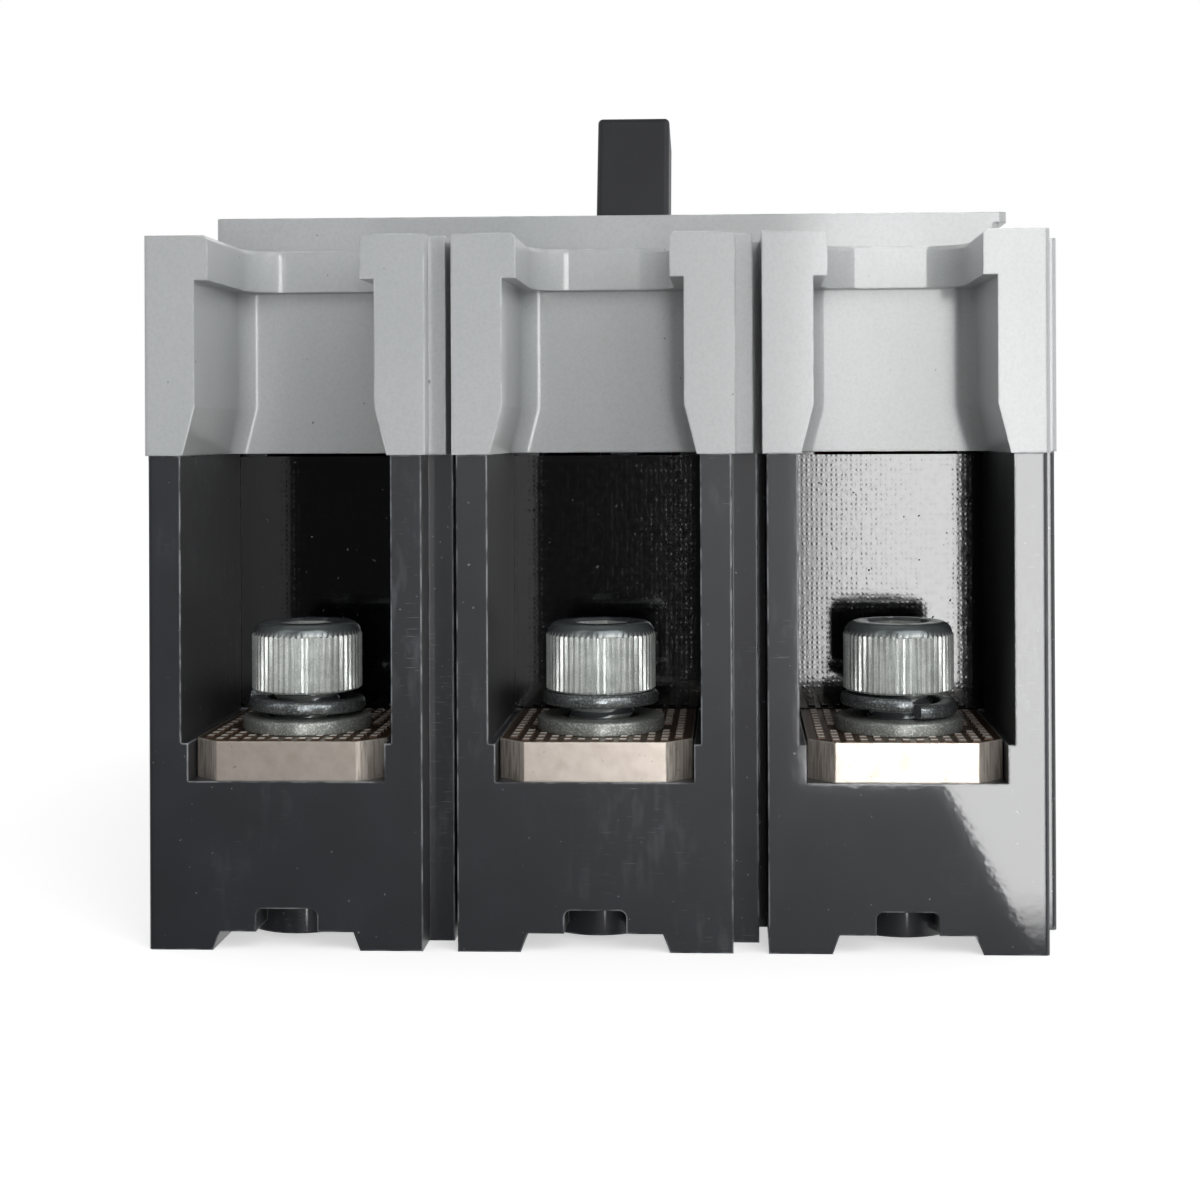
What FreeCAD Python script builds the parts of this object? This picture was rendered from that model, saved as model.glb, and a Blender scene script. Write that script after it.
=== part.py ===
"""Three pole moulded case circuit breaker, millimetres.

The origin is the centre of the mounting face. +Z points from the mounting face to the handle, +X runs
across the poles and +Y runs from the line terminals to the load terminals. The breaker is open: the
handle leans to +Y and the moving contacts are up.
"""
import FreeCAD, Part
import os
import re

import Sketcher

SIZES = {
    # Case as a whole
    "pole_spacing": 35,
    "body_width": 107.3,
    "body_length": 165,
    "end_width": 102.1,
    "shoulder_length": 142,
    "base_height": 56,
    "cover_height": 25,
    "panel_height": 5,
    "skirt": 0.3,
    "case_corner_radius": 0.5,
    # Clearances
    "pin_gap": 0.05,
    "seat_gap": 0.1,
    "slide_gap": 0.3,
    # Pole chambers inside the case
    "chamber_width": 30,
    "end_wall": 5.4,
    "chamber_floor": 6,
    "pedestal_width": 18,
    "pedestal_reach": 26,
    "roof_thickness": 2.5,
    # Terminal compartments, open to the front and the top
    "compartment_width": 24,
    "compartment_depth": 27.1,
    "compartment_floor": 19.1,
    "ledge_width": 22.4,
    "ledge_height": 4.3,
    "insulating_plate_thickness": 1.6,
    "insulating_plate_inlet": 0.6,
    "insulating_plate_corner": 2,
    "insulating_plate_drop": 0.45,
    "vent_width": 18,
    "vent_sill": 30,
    # Underside
    "foot_gap_width": 16.8,
    "foot_gap_height": 2.1,
    "foot_gap_taper": 0.8,
    "foot_gap_depth": 24,
    "foot_notch_width": 7,
    "foot_notch_height": 4.7,
    "foot_notch_corner": 0.8,
    # Slots for barriers between the poles
    "slot_width": 3.95,
    "slot_depth": 5,
    "slot_groove_width": 1,
    "slot_groove_depth": 12,
    "cover_slot_width": 3,
    "cover_slot_depth": 2.6,
    # Fixing holes between the poles
    "mount_hole_radius": 2.75,
    "mount_hole_spacing": 126,
    "mount_head_radius": 4.4,
    "mount_head_seat": 10,
    # Screws that hold the cover on the base
    "cover_screw_inset": 3.4,
    "cover_screw_radius": 1.75,
    "cover_screw_head_radius": 3,
    "cover_screw_head_height": 2.4,
    "cover_screw_length": 40,
    # Recess in the cover over each terminal
    "recess_width": 20.5,
    "recess_foot_width": 23.3,
    "recess_foot_height": 5.5,
    "recess_depth": 21.5,
    "recess_corner": 2.2,
    "lip_thickness": 5.1,
    "lip_opening_width": 17.3,
    "lip_opening_depth": 20,
    "lip_corner": 4.3,
    "lip_bevel": 0.5,
    # Front panel over the middle of the cover
    "panel_width": 100.6,
    "panel_length": 108.8,
    "panel_lip": 0.9,
    "panel_lip_thickness": 1.3,
    "panel_wall": 1.6,
    "panel_corner_radius": 1,
    "bezel_width": 21,
    "bezel_length": 50,
    "bezel_height": 3.4,
    "bezel_slope": 1,
    "panel_screw_x": 41.5,
    "panel_screw_y": 43,
    "panel_screw_radius": 1.5,
    "panel_screw_head_radius": 3,
    "panel_screw_head_height": 1.8,
    "panel_screw_proud": 0.3,
    "panel_screw_length": 14,
    "boss_wall": 1.7,
    # Terminals of tin plated copper
    "tang_width": 22,
    "tang_thickness": 4.5,
    "tang_setback": 0.5,
    "tang_chamfer": 3,
    "bar_width": 14,
    "line_bar_reach": 24,
    "load_bar_reach": 26,
    "heater_width": 12,
    "heater_thickness": 1.5,
    "heater_y": 30,
    "heater_drop": 12,
    # Terminal screw, M8 by 20 socket head
    "screw_setback": 11.5,
    "screw_radius": 4,
    "screw_length": 20,
    "screw_head_radius": 6.45,
    "screw_head_height": 8,
    "screw_socket_width": 6,
    "screw_socket_depth": 4,
    "screw_clearance": 0.4,
    "screw_head_bevel": 0.7,
    "spring_washer_radius": 6.8,
    "spring_washer_section": 2.1,
    "spring_washer_height": 3,
    "spring_washer_split": 1.2,
    "flat_washer_radius": 7.5,
    "flat_washer_height": 1.6,
    "nut_width": 13,
    "nut_height": 6.5,
    "screw_well_radius": 5.2,
    "well_tube_radius": 6.9,
    "well_tube_end": 0.8,
    # Contacts
    "contact_tip_length": 7,
    "contact_tip_width": 7,
    "contact_tip_height": 2,
    "contact_y": 29,
    "closed_contact_gap": 0.1,
    "arm_thickness": 4,
    "arm_height": 6,
    "arm_nose_height": 5,
    "arm_tip_overhang": 3,
    "arm_tail": 9.5,
    "arm_heel": 4,
    "arm_nose_chamfer": 2,
    "arm_root_gap": 1,
    "arm_pin_length": 17,
    "arm_pin_radius": 1.5,
    # Crossbar that carries the three moving contacts
    "crossbar_y": 6,
    "crossbar_drop": 29,
    "crossbar_radius": 7.5,
    "open_angle": 26,
    "lever_y": -11,
    "lever_z": 3,
    "lever_ear_inner": 4.4,
    "lever_ear_thickness": 2.6,
    "lever_ear_radius": 3.4,
    # Toggle linkage in the middle pole
    "link_thickness": 1.4,
    "link_radius": 2.9,
    "lower_link_offset": 2.6,
    "upper_link_offset": 4.4,
    "lower_link_length": 12,
    "upper_link_length": 14.2,
    "upper_pin_y": -4,
    "link_pin_radius": 1.5,
    "knee_play": 0.6,
    "cradle_thickness": 4,
    "cradle_pivot_y": -16,
    "cradle_pivot_drop": 3,
    "cradle_height": 8,
    "cradle_nose_height": 3.4,
    "cradle_nose_length": 7,
    "cradle_heel": 2,
    "cradle_belly_start": 3,
    "cradle_belly_end": 12,
    # Side plates of the mechanism
    "side_plate_thickness": 1.6,
    "side_plate_front": -20.5,
    "side_plate_rear": 25.5,
    "side_plate_rise": 5,
    "side_plate_arch_gap": 1,
    "side_plate_bridge": 3,
    "side_plate_chamfer": 4,
    "side_plate_chin": 5,
    "side_plate_leg": 6,
    "side_plate_foot": 5.2,
    "mechanism_screw_radius": 1.5,
    "mechanism_screw_head_radius": 2.8,
    "mechanism_screw_head_height": 1.6,
    "mechanism_screw_recess": 2.6,
    "mechanism_screw_end": 2,
    "pin_end": 0.5,
    # Handle and its yoke
    "handle_drop": 4,
    "handle_lean": 17,
    "handle_width": 11.5,
    "handle_thickness": 12,
    "handle_proud": 24,
    "handle_tip_radius": 0.8,
    "handle_slot_length": 44,
    "handle_side_gap": 0.6,
    "yoke_wall_gap": 0.5,
    "yoke_headroom": 3,
    "yoke_thickness": 1.2,
    "yoke_width": 10,
    "yoke_tab_width": 6,
    "yoke_tab_height": 6,
    "yoke_pin_radius": 2,
    "spring_pin_drop": 4.5,
    "spring_pin_radius": 1.2,
    "toggle_spring_offset": 8.6,
    "toggle_spring_radius": 1.9,
    "toggle_spring_wire": 0.4,
    "toggle_spring_end": 0.7,
    "toggle_spring_turns": 9,
    "dust_shield_width": 18,
    "dust_shield_length": 69,
    "dust_shield_thickness": 0.8,
    "dust_shield_hole": 14.6,
    "rail_width": 2,
    "rail_length": 92,
    # Arc chutes
    "chute_front": 33,
    "chute_side_front": 30,
    "chute_lift": 1.4,
    "chute_headroom": 1.5,
    "chute_first": 2.4,
    "chute_side_thickness": 1.2,
    "splitter_count": 8,
    "splitter_spacing": 3.2,
    "splitter_thickness": 1.2,
    "splitter_leg": 5,
    "splitter_notch_width": 9,
    "splitter_notch_depth": 7,
    "splitter_tab": 8,
    # Trip units
    "bimetal_gap": 1.5,
    "bimetal_thickness": 1.2,
    "bimetal_width": 8,
    "bimetal_drop": 3,
    "bimetal_foot": 5,
    "calibration_drop": 7,
    "calibration_radius": 1.5,
    "calibration_gap": 0.5,
    "calibration_tail": 1.6,
    "magnet_front": 27,
    "magnet_thickness": 1.5,
    "magnet_depth": 8.5,
    "magnet_height": 14.4,
    "magnet_gap": 1,
    "armature_gap": 1.5,
    "armature_thickness": 1.2,
    "armature_width": 18,
    "armature_shoulder_drop": 16,
    "armature_drop": 4,
    "armature_finger_left": 4,
    "armature_finger_width": 3,
    "armature_nib": 3.4,
    "armature_nib_height": 2,
    "braid_thickness": 2,
    "braid_width": 8,
    "braid_lead": 3.6,
    "braid_lead_angle": 34,
    "braid_dip": 2,
    # Trip bar, latch plate and trip button
    "trip_y": 30,
    "trip_radius": 2.5,
    "trip_finger_left": 2,
    "trip_finger_width": 9,
    "trip_finger_thickness": 2,
    "trip_finger_length": 10,
    "latch_width": 8,
    "latch_thickness": 1.5,
    "latch_rise": 6.9,
    "latch_hook": 3.5,
    "latch_overlap": 1.5,
    "button_x": 27,
    "button_y": 38,
    "button_stem_radius": 1,
    "button_lug_width": 5,
    "button_lug_thickness": 2.5,
    "button_lug_end": 2,
    "button_flange_radius": 3.2,
    "button_flange_thickness": 1.1,
    "button_flange_gap": 0.2,
    "button_head_radius": 2.2,
    "button_proud": 0.3,
    "button_spring_wire": 0.3,
    "button_spring_turns": 3,
    "button_spring_inset": 0.4,
}

FORMULAS = {
    "half_length": "body_length / 2",
    "seam": "base_height",
    "cover_top": "base_height + cover_height",
    "panel_top": "cover_top + panel_height",
    "panel_under": "panel_top - panel_wall",
    "roof_under": "cover_top - roof_thickness",
    "partition": "pole_spacing - chamber_width",
    "compartment_back": "half_length - compartment_depth",
    "chamber_end": "compartment_back - end_wall",
    "wall_front": "compartment_back - insulating_plate_thickness - 2 * seat_gap",
    "mount_y": "mount_hole_spacing / 2",
    "cover_screw_y": "panel_length / 2 - cover_screw_inset",
    "screw_y": "half_length - screw_setback",
    "tang_top": "compartment_floor + tang_thickness",
    "flat_washer_top": "tang_top + flat_washer_height",
    "head_seat": "flat_washer_top + spring_washer_height",
    "fixed_tip_top": "tang_top + contact_tip_height",
    "crossbar_z": "seam - crossbar_drop",
    "moving_tip_y": "-contact_y - crossbar_y",
    "moving_tip_z": "fixed_tip_top + closed_contact_gap - crossbar_z",
    "nose_z": "moving_tip_z + contact_tip_height",
    "open_pin_y": "crossbar_y + lever_y * cos(open_angle) + lever_z * sin(open_angle)",
    "open_pin_z": "crossbar_z - lever_y * sin(open_angle) + lever_z * cos(open_angle)",
    "upper_pin_z": "seam",
    "toggle_y": "open_pin_y - upper_pin_y",
    "toggle_z": "open_pin_z - upper_pin_z",
    "toggle": "sqrt(toggle_y ^ 2 + toggle_z ^ 2)",
    "knee_along": "(upper_link_length ^ 2 - lower_link_length ^ 2 + toggle ^ 2) / (2 * toggle)",
    "knee_aside": "sqrt(upper_link_length ^ 2 - knee_along ^ 2)",
    "knee_y": "upper_pin_y + (knee_along * toggle_y - knee_aside * toggle_z) / toggle",
    "knee_z": "upper_pin_z + (knee_along * toggle_z + knee_aside * toggle_y) / toggle",
    "cradle_pivot_z": "seam - cradle_pivot_drop",
    "latch_hook_z": "seam + latch_rise",
    "side_plate_top": "seam + side_plate_rise",
    "yoke_offset": "chamber_width / 2 - yoke_wall_gap - yoke_thickness",
    "side_plate_offset": "yoke_offset - slide_gap - side_plate_thickness",
    "handle_z": "seam - handle_drop",
    "handle_reach": "panel_top - handle_z + handle_proud",
    "yoke_web_top": "roof_under - yoke_headroom - handle_z",
    "handle_foot": "yoke_web_top + seat_gap",
    "spring_pin_reach": "yoke_web_top - spring_pin_drop",
    "spring_pin_y": "spring_pin_reach * sin(handle_lean)",
    "spring_pin_z": "handle_z + spring_pin_reach * cos(handle_lean)",
    "yoke_pin_outer": "yoke_offset + yoke_thickness",
    "heater_top": "seam - heater_drop",
    "bimetal_top": "seam - bimetal_drop",
    "calibration_z": "seam - calibration_drop",
    "bimetal_y": "heater_y + heater_thickness + bimetal_gap",
    "armature_y": "magnet_front + magnet_depth + armature_gap",
    "armature_pivot_z": "tang_top + slide_gap + armature_thickness / 2",
    "armature_shoulder": "seam - armature_shoulder_drop",
    "armature_top": "seam - armature_drop",
    "magnet_half": "heater_width / 2 + magnet_gap + magnet_thickness",
    "chute_half": "chamber_width / 2 - seat_gap * 2",
    "chute_back": "chamber_end - seat_gap * 2",
    "chute_bottom": "tang_top + chute_lift",
    "chute_height": "seam - chute_headroom - chute_bottom",
    "dust_shield_z": "panel_under - seat_gap * 2 - dust_shield_thickness",
    "handle_slot_width": "handle_width + 2 * handle_side_gap",
    "button_lug_top": "seam + button_lug_thickness / 2",
    "button_flange_top": "panel_under - button_flange_gap",
    "button_flange_bottom": "button_flange_top - button_flange_thickness",
}

CUT_OVER = "1"
POLES = (1, 2, 3)
LINE, LOAD = -1, 1
CORNERS = [(side, end) for side in (-1, 1) for end in (LINE, LOAD)]

doc = FreeCAD.newDocument("breaker")
sheet = doc.addObject("Spreadsheet::Sheet", "dims")
nodes = {}


def fill_sheet():
    """Write every size and formula to the sheet and give each cell its alias."""
    rows = list(SIZES.items()) + [(name, "=" + formula) for name, formula in FORMULAS.items()]
    for row, (name, content) in enumerate(rows, start=1):
        sheet.set(f"A{row}", name)
        sheet.set(f"B{row}", str(content))
        sheet.setAlias(f"B{row}", name)
    doc.recompute()


def cells(text):
    """Turn plain names in an expression into the sheet's cells."""
    known = SIZES.keys() | FORMULAS.keys()
    return re.sub(r"[a-z_]\w+", lambda word: f"dims.{word[0]}" if word[0] in known else word[0], str(text))


def value(text):
    """The present number of an expression."""
    result = sheet.evalExpression(cells(text))
    return float(getattr(result, "Value", result))


def bind(feature, **sizes):
    """Bind properties of a feature to expressions on the sheet."""
    for name, expression in sizes.items():
        feature.setExpression(name, cells(expression))


def move(feature, x="0", y="0", z="0"):
    """Bind the place of a feature to expressions."""
    for axis, expression in zip("xyz", (x, y, z)):
        feature.setExpression(f"Placement.Base.{axis}", cells(expression))


def hang(feature, y, z, lean="0"):
    """Place a piece that was drawn round its own pivot, turned by an angle about the X axis."""
    feature.Placement = FreeCAD.Placement(FreeCAD.Vector(), FreeCAD.Rotation(FreeCAD.Vector(1, 0, 0), 1))
    move(feature, "0", y, z)
    feature.setExpression("Placement.Rotation.Angle", cells(lean))


def pole_x(pole):
    """The middle of a pole as an expression."""
    return f"({pole - 2} * pole_spacing)"


def around(middle, width):
    """The two ends of a width about its middle."""
    return f"{middle} - ({width}) / 2", f"{middle} + ({width}) / 2"


def both(half):
    """From minus a half size to plus that half size."""
    return f"-({half})", f"{half}"


TURNS = {
    "X": FreeCAD.Rotation(FreeCAD.Vector(0, 1, 0), 90),
    "Y": FreeCAD.Rotation(FreeCAD.Vector(1, 0, 0), -90),
    "Z": FreeCAD.Rotation(),
}


def size_box(feature, x, y, z):
    """Give a box feature its low and high ends along each axis."""
    for size, (low, high) in zip(("Length", "Width", "Height"), (x, y, z)):
        feature.setExpression(size, cells(f"({high}) - ({low})"))
    move(feature, x[0], y[0], z[0])


def size_rod(feature, radius, axis, middle, span):
    """Give a cylinder feature its radius, the axis it runs along, its middle and its two ends."""
    feature.Placement = FreeCAD.Placement(FreeCAD.Vector(), TURNS[axis])
    low, high = span
    bind(feature, Radius=radius, Height=f"({high}) - ({low})")
    place = list(middle)
    place.insert("XYZ".index(axis), low)
    move(feature, *place)


def towards(corner, other):
    """The point where a rounded corner's arc meets the edge that leads to another corner."""
    x, y, radius = corner
    steps = (value(other[0]) - value(x), value(other[1]) - value(y))
    signs = [(step > 1e-6) - (step < -1e-6) for step in steps]
    return f"{x} + {signs[0]} * ({radius})", f"{y} + {signs[1]} * ({radius})"


def draw_arc(sketch, start, end, corner, radius):
    """Add the arc that rounds a square corner; says whether it runs from its end back to its start."""
    centre = FreeCAD.Vector(start.x + end.x - corner.x, start.y + end.y - corner.y, 0)
    first, last = start - centre, end - centre
    backwards = first.x * last.y - first.y * last.x < 0
    if backwards:
        first, last = last, first
    flat = FreeCAD.Vector(1, 0, 0)
    angles = [spoke.getAngle(flat) * (1 if spoke.y >= 0 else -1) for spoke in (first, last)]
    circle = Part.Circle(centre, FreeCAD.Vector(0, 0, 1), radius)
    sketch.addGeometry(Part.ArcOfCircle(circle, angles[0], angles[1]), False)
    return backwards


def draw(sketch, corners):
    """Draw a closed outline. A corner is (x, y), or (x, y, radius) where it is square and rounded."""
    path = []
    for index, corner in enumerate(corners):
        if len(corner) == 2:
            path.append((corner, None, None))
            continue
        after = corners[(index + 1) % len(corners)]
        path.append((towards(corner, corners[index - 1]), corner, corner[2]))
        path.append((towards(corner, after), None, None))
    spots = [FreeCAD.Vector(value(x), value(y), 0) for (x, y), _, _ in path]
    ends = []
    for index, (_, corner, radius) in enumerate(path):
        start, end = spots[index], spots[(index + 1) % len(path)]
        if radius is None:
            sketch.addGeometry(Part.LineSegment(start, end), False)
            ends.append((1, 2))
            continue
        tip = FreeCAD.Vector(value(corner[0]), value(corner[1]), 0)
        backwards = draw_arc(sketch, start, end, tip, value(radius))
        ends.append((2, 1) if backwards else (1, 2))
    for index in range(len(path)):
        after = (index + 1) % len(path)
        sketch.addConstraint(Sketcher.Constraint("Coincident", index, ends[index][1], after, ends[after][0]))
    for index, ((x, y), _, radius) in enumerate(path):
        spot = spots[index]
        for kind, expression, number in (("DistanceX", x, spot.x), ("DistanceY", y, spot.y)):
            limit = Sketcher.Constraint(kind, -1, 1, index, ends[index][0], number)
            sketch.setExpression(f"Constraints[{sketch.addConstraint(limit)}]", cells(expression))
        if radius is not None:
            limit = Sketcher.Constraint("Radius", index, value(radius))
            sketch.setExpression(f"Constraints[{sketch.addConstraint(limit)}]", cells(radius))


class Moulding:
    """A body built up feature by feature, which becomes the node of the same name if it is whole."""

    def __init__(self, label, whole=True):
        self.body = doc.addObject("PartDesign::Body", label)
        if whole:
            nodes[label] = self.body

    def plane(self, role):
        """One of the body's own origin planes or axes."""
        return next(item for item in self.body.Origin.OriginFeatures if item.Role == role)

    def box(self, name, x, y, z, cut=False):
        """A box that is added or cut."""
        kind = "PartDesign::SubtractiveBox" if cut else "PartDesign::AdditiveBox"
        box = self.body.newObject(kind, name)
        size_box(box, x, y, z)
        return box

    def rod(self, name, radius, axis, middle, span, cut=False):
        """A cylinder that is added or cut."""
        kind = "PartDesign::SubtractiveCylinder" if cut else "PartDesign::AdditiveCylinder"
        rod = self.body.newObject(kind, name)
        size_rod(rod, radius, axis, middle, span)
        return rod

    def extrude(self, name, plane, corners, span):
        """An outline on the body's XY or YZ plane, drawn out between two places along the normal."""
        low, high = span
        sketch = self.body.newObject("Sketcher::SketchObject", name + "_sketch")
        sketch.AttachmentSupport = [(self.plane(plane + "_Plane"), "")]
        sketch.MapMode = "FlatFace"
        sketch.setExpression("AttachmentOffset.Base.z", cells(low))
        draw(sketch, corners)
        pad = self.body.newObject("PartDesign::Pad", name)
        pad.Profile = sketch
        bind(pad, Length=f"({high}) - ({low})")
        return pad

    def soften(self, name, size, wanted, flat=False):
        """Fillet or chamfer the edges of the present solid that a test picks."""
        doc.recompute()
        base = self.body.Tip
        picks = [f"Edge{count}" for count, edge in enumerate(base.Shape.Edges, start=1) if wanted(edge)]
        kind, measure = ("Chamfer", "Size") if flat else ("Fillet", "Radius")
        soft = self.body.newObject(f"PartDesign::{kind}", name)
        soft.Base = (base, picks)
        bind(soft, **{measure: size})


def box(name, x, y, z):
    """A free standing box."""
    feature = doc.addObject("Part::Box", name)
    size_box(feature, x, y, z)
    return feature


def rod(name, radius, axis, middle, span):
    """A free standing cylinder."""
    feature = doc.addObject("Part::Cylinder", name)
    size_rod(feature, radius, axis, middle, span)
    return feature


SKETCH_TURNS = {
    "XY": FreeCAD.Rotation(),
    "XZ": FreeCAD.Rotation(FreeCAD.Vector(1, 0, 0), 90),
    "YZ": FreeCAD.Rotation(FreeCAD.Vector(1, 1, 1), 120),
}
NORMALS = {"XY": ("z", (0, 0, 1)), "XZ": ("y", (0, 1, 0)), "YZ": ("x", (1, 0, 0))}


def free_sketch(name, plane, corners, level):
    """A closed outline on a plane through a place on that plane's normal."""
    sketch = doc.addObject("Sketcher::SketchObject", name)
    draw(sketch, corners)
    sketch.Placement = FreeCAD.Placement(FreeCAD.Vector(), SKETCH_TURNS[plane])
    sketch.setExpression(f"Placement.Base.{NORMALS[plane][0]}", cells(level))
    return sketch


def prism(name, plane, corners, span):
    """A free standing outline drawn out between two places."""
    low, high = span
    feature = doc.addObject("Part::Extrusion", name)
    feature.Base = free_sketch(name + "_sketch", plane, corners, low)
    feature.DirMode = "Custom"
    feature.Dir = FreeCAD.Vector(*NORMALS[plane][1])
    feature.Solid = True
    bind(feature, LengthFwd=f"({high}) - ({low})")
    return feature


def taper(name, lower, upper):
    """A straight sided form between two outlines, each given with its height."""
    feature = doc.addObject("Part::Loft", name)
    feature.Sections = [free_sketch(f"{name}_{end}", "XY", corners, level)
                        for end, (corners, level) in (("lower", lower), ("upper", upper))]
    feature.Solid = True
    feature.Ruled = True
    return feature


def cut(name, solid, *tools):
    """A solid less one or more tools."""
    result = doc.addObject("Part::Cut", name)
    result.Base = solid
    result.Tool = tools[0] if len(tools) == 1 else fuse(name + "_tools", *tools)
    return result


def fuse(name, *pieces):
    """Pieces joined into one solid."""
    result = doc.addObject("Part::MultiFuse", name)
    result.Shapes = list(pieces)
    result.Refine = True
    return result


def gather(label, pieces):
    """A node that holds several separate solids."""
    group = doc.addObject("Part::Compound", label)
    group.Links = list(pieces)
    nodes[label] = group
    return group


def stand_alone(label, feature):
    """Make a feature the node of that name."""
    feature.Label = label
    nodes[label] = feature
    return feature


def upright(edge):
    """True for an edge that runs along Z."""
    ends = [vertex.Point for vertex in edge.Vertexes]
    return len(ends) == 2 and abs(ends[0].x - ends[1].x) + abs(ends[0].y - ends[1].y) < 1e-6


def case_outline(inset):
    """The case seen from above: a wide body with a narrower block at each end."""
    wide, narrow = f"body_width / 2 - {inset}", f"end_width / 2 - {inset}"
    far, near = f"half_length - {inset}", "shoulder_length / 2"
    quarter = [(narrow, far), (narrow, near), (wide, near)]
    right = [(x, y) for x, y in reversed(quarter)]
    corners = [(x, f"-({y})") for x, y in quarter]
    corners += right
    corners += [(f"-({x})", y) for x, y in quarter]
    corners += [(f"-({x})", f"-({y})") for x, y in right]
    return corners


def ordered(end, inner, outer):
    """Two distances from the middle as a low to high pair on the line or the load side."""
    return (f"-({outer})", f"-({inner})") if end == LINE else (inner, outer)


def base_pole_end(x, end):
    """What is cut from the base at one end of one pole."""
    outside = f"half_length + {CUT_OVER}"
    top, under = f"seam + {CUT_OVER}", f"-{CUT_OVER}"
    y = f"{end} * screw_y"
    bay = ordered(end, "compartment_back", outside)
    passage = ordered(end, "chamber_end - 1", "compartment_back + 1")
    plate_width = "compartment_width + 2 * insulating_plate_inlet"
    nut = "nut_width + 2 * seat_gap"
    gap_foot = "foot_gap_width / 2"
    gap_top = "(foot_gap_width / 2 - foot_gap_taper)"
    notch_left, notch_right = around(x, "foot_notch_width")
    foot_gap = prism("foot_gap", "XZ", [(f"{x} - {gap_foot}", "0"), (f"{x} + {gap_foot}", "0"),
                                        (f"{x} + {gap_top}", "foot_gap_height"),
                                        (f"{x} - {gap_top}", "foot_gap_height")],
                     ordered(end, "half_length - foot_gap_depth", outside))
    foot_notch = prism("foot_notch", "XZ", [(notch_left, "foot_gap_height / 2"),
                                            (notch_right, "foot_gap_height / 2"),
                                            (notch_right, "foot_notch_height", "foot_notch_corner"),
                                            (notch_left, "foot_notch_height", "foot_notch_corner")],
                       ordered(end, "screw_y", outside))
    tube = ("well_tube_radius", "Z", (x, y), ("well_tube_end", "compartment_floor"))
    return [
        box("compartment", around(x, "compartment_width"), bay, ("compartment_floor + ledge_height", top)),
        box("compartment_foot", around(x, "ledge_width"), bay, ("compartment_floor", top)),
        box("plate_seat", around(x, plate_width), ordered(end, "wall_front", "compartment_back + seat_gap"),
            ("tang_top", top)),
        box("tang_passage", around(x, "ledge_width"), passage, ("compartment_floor", "tang_top + seat_gap")),
        box("arc_vent", around(x, "vent_width"), passage, ("vent_sill", top)),
        box("nut_pocket", around(x, nut), around(y, nut), ("compartment_floor - nut_height - seat_gap", top)),
        rod("screw_well", "screw_well_radius", "Z", (x, y), (under, "compartment_floor")),
        cut("foot_gap_round_tube", foot_gap, rod("gap_tube", *tube)),
        cut("foot_notch_round_tube", foot_notch, rod("notch_tube", *tube)),
    ]


def barrier_slot(x, end, width, depth, span):
    """A slot for a barrier between two poles, with a deeper groove along its right side."""
    outside = f"half_length + {CUT_OVER}"
    right = f"{x} + ({width}) / 2"
    return [
        box("barrier_slot", around(x, width), ordered(end, f"half_length - {depth}", outside), span),
        box("barrier_groove", (f"{right} - slot_groove_width", right),
            ordered(end, "half_length - slot_groove_depth", outside), span),
    ]


def chamber_tool(x, low, high):
    """The hollow of one pole."""
    return box("chamber", around(x, "chamber_width"), both("chamber_end"), (low, high))


def make_base():
    """Moulded base with three chambers, six terminal compartments and feet."""
    blank = Moulding("base_blank", whole=False)
    blank.extrude("base_pad", "XY", case_outline("skirt"), ("0", "seam"))
    blank.soften("base_corners", "case_corner_radius", upright)
    top, under = f"seam + {CUT_OVER}", f"-{CUT_OVER}"
    tools = []
    for pole in POLES:
        x = pole_x(pole)
        pedestals = [box("pedestal", around(x, "pedestal_width"),
                         ordered(end, "pedestal_reach", "chamber_end + 1"), ("0", "compartment_floor"))
                     for end in (LINE, LOAD)]
        tools.append(cut("stepped_chamber", chamber_tool(x, "chamber_floor", top), *pedestals))
        for end in (LINE, LOAD):
            tools += base_pole_end(x, end)
    for side in (-1, 1):
        x = f"({side} * pole_spacing / 2)"
        for end in (LINE, LOAD):
            tools += barrier_slot(x, end, "slot_width", "slot_depth", (under, top))
            mount, cover_screw = (x, f"{end} * mount_y"), (x, f"{end} * cover_screw_y")
            tools += [
                rod("mount_hole", "mount_hole_radius", "Z", mount, (under, top)),
                rod("mount_head_bore", "mount_head_radius", "Z", mount, ("mount_head_seat", top)),
                rod("cover_screw_hole", "cover_screw_radius + seat_gap", "Z", cover_screw,
                    ("cover_top - cover_screw_length - 1", top)),
            ]
        through = around(x, "partition + 2")
        bearing = "crossbar_radius + seat_gap"
        tools += [
            box("crossbar_slot", through, around("crossbar_y", f"2 * ({bearing})"), ("crossbar_z", top)),
            rod("crossbar_bearing", bearing, "X", ("crossbar_y", "crossbar_z"), through),
            rod("trip_bearing", "trip_radius + seat_gap", "X", ("trip_y", "seam"), through),
        ]
        for y in mechanism_screw_rows():
            spot = (f"{side} * ({mechanism_screw_x()})", y)
            tools += [
                rod("mechanism_hole", "mechanism_screw_radius + seat_gap", "Z", spot,
                    (under, "chamber_floor + 1")),
                rod("mechanism_recess", "mechanism_screw_head_radius + seat_gap", "Z", spot,
                    (under, "mechanism_screw_recess")),
            ]
    stand_alone("base", cut("base_cut", blank.body, *tools))


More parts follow.
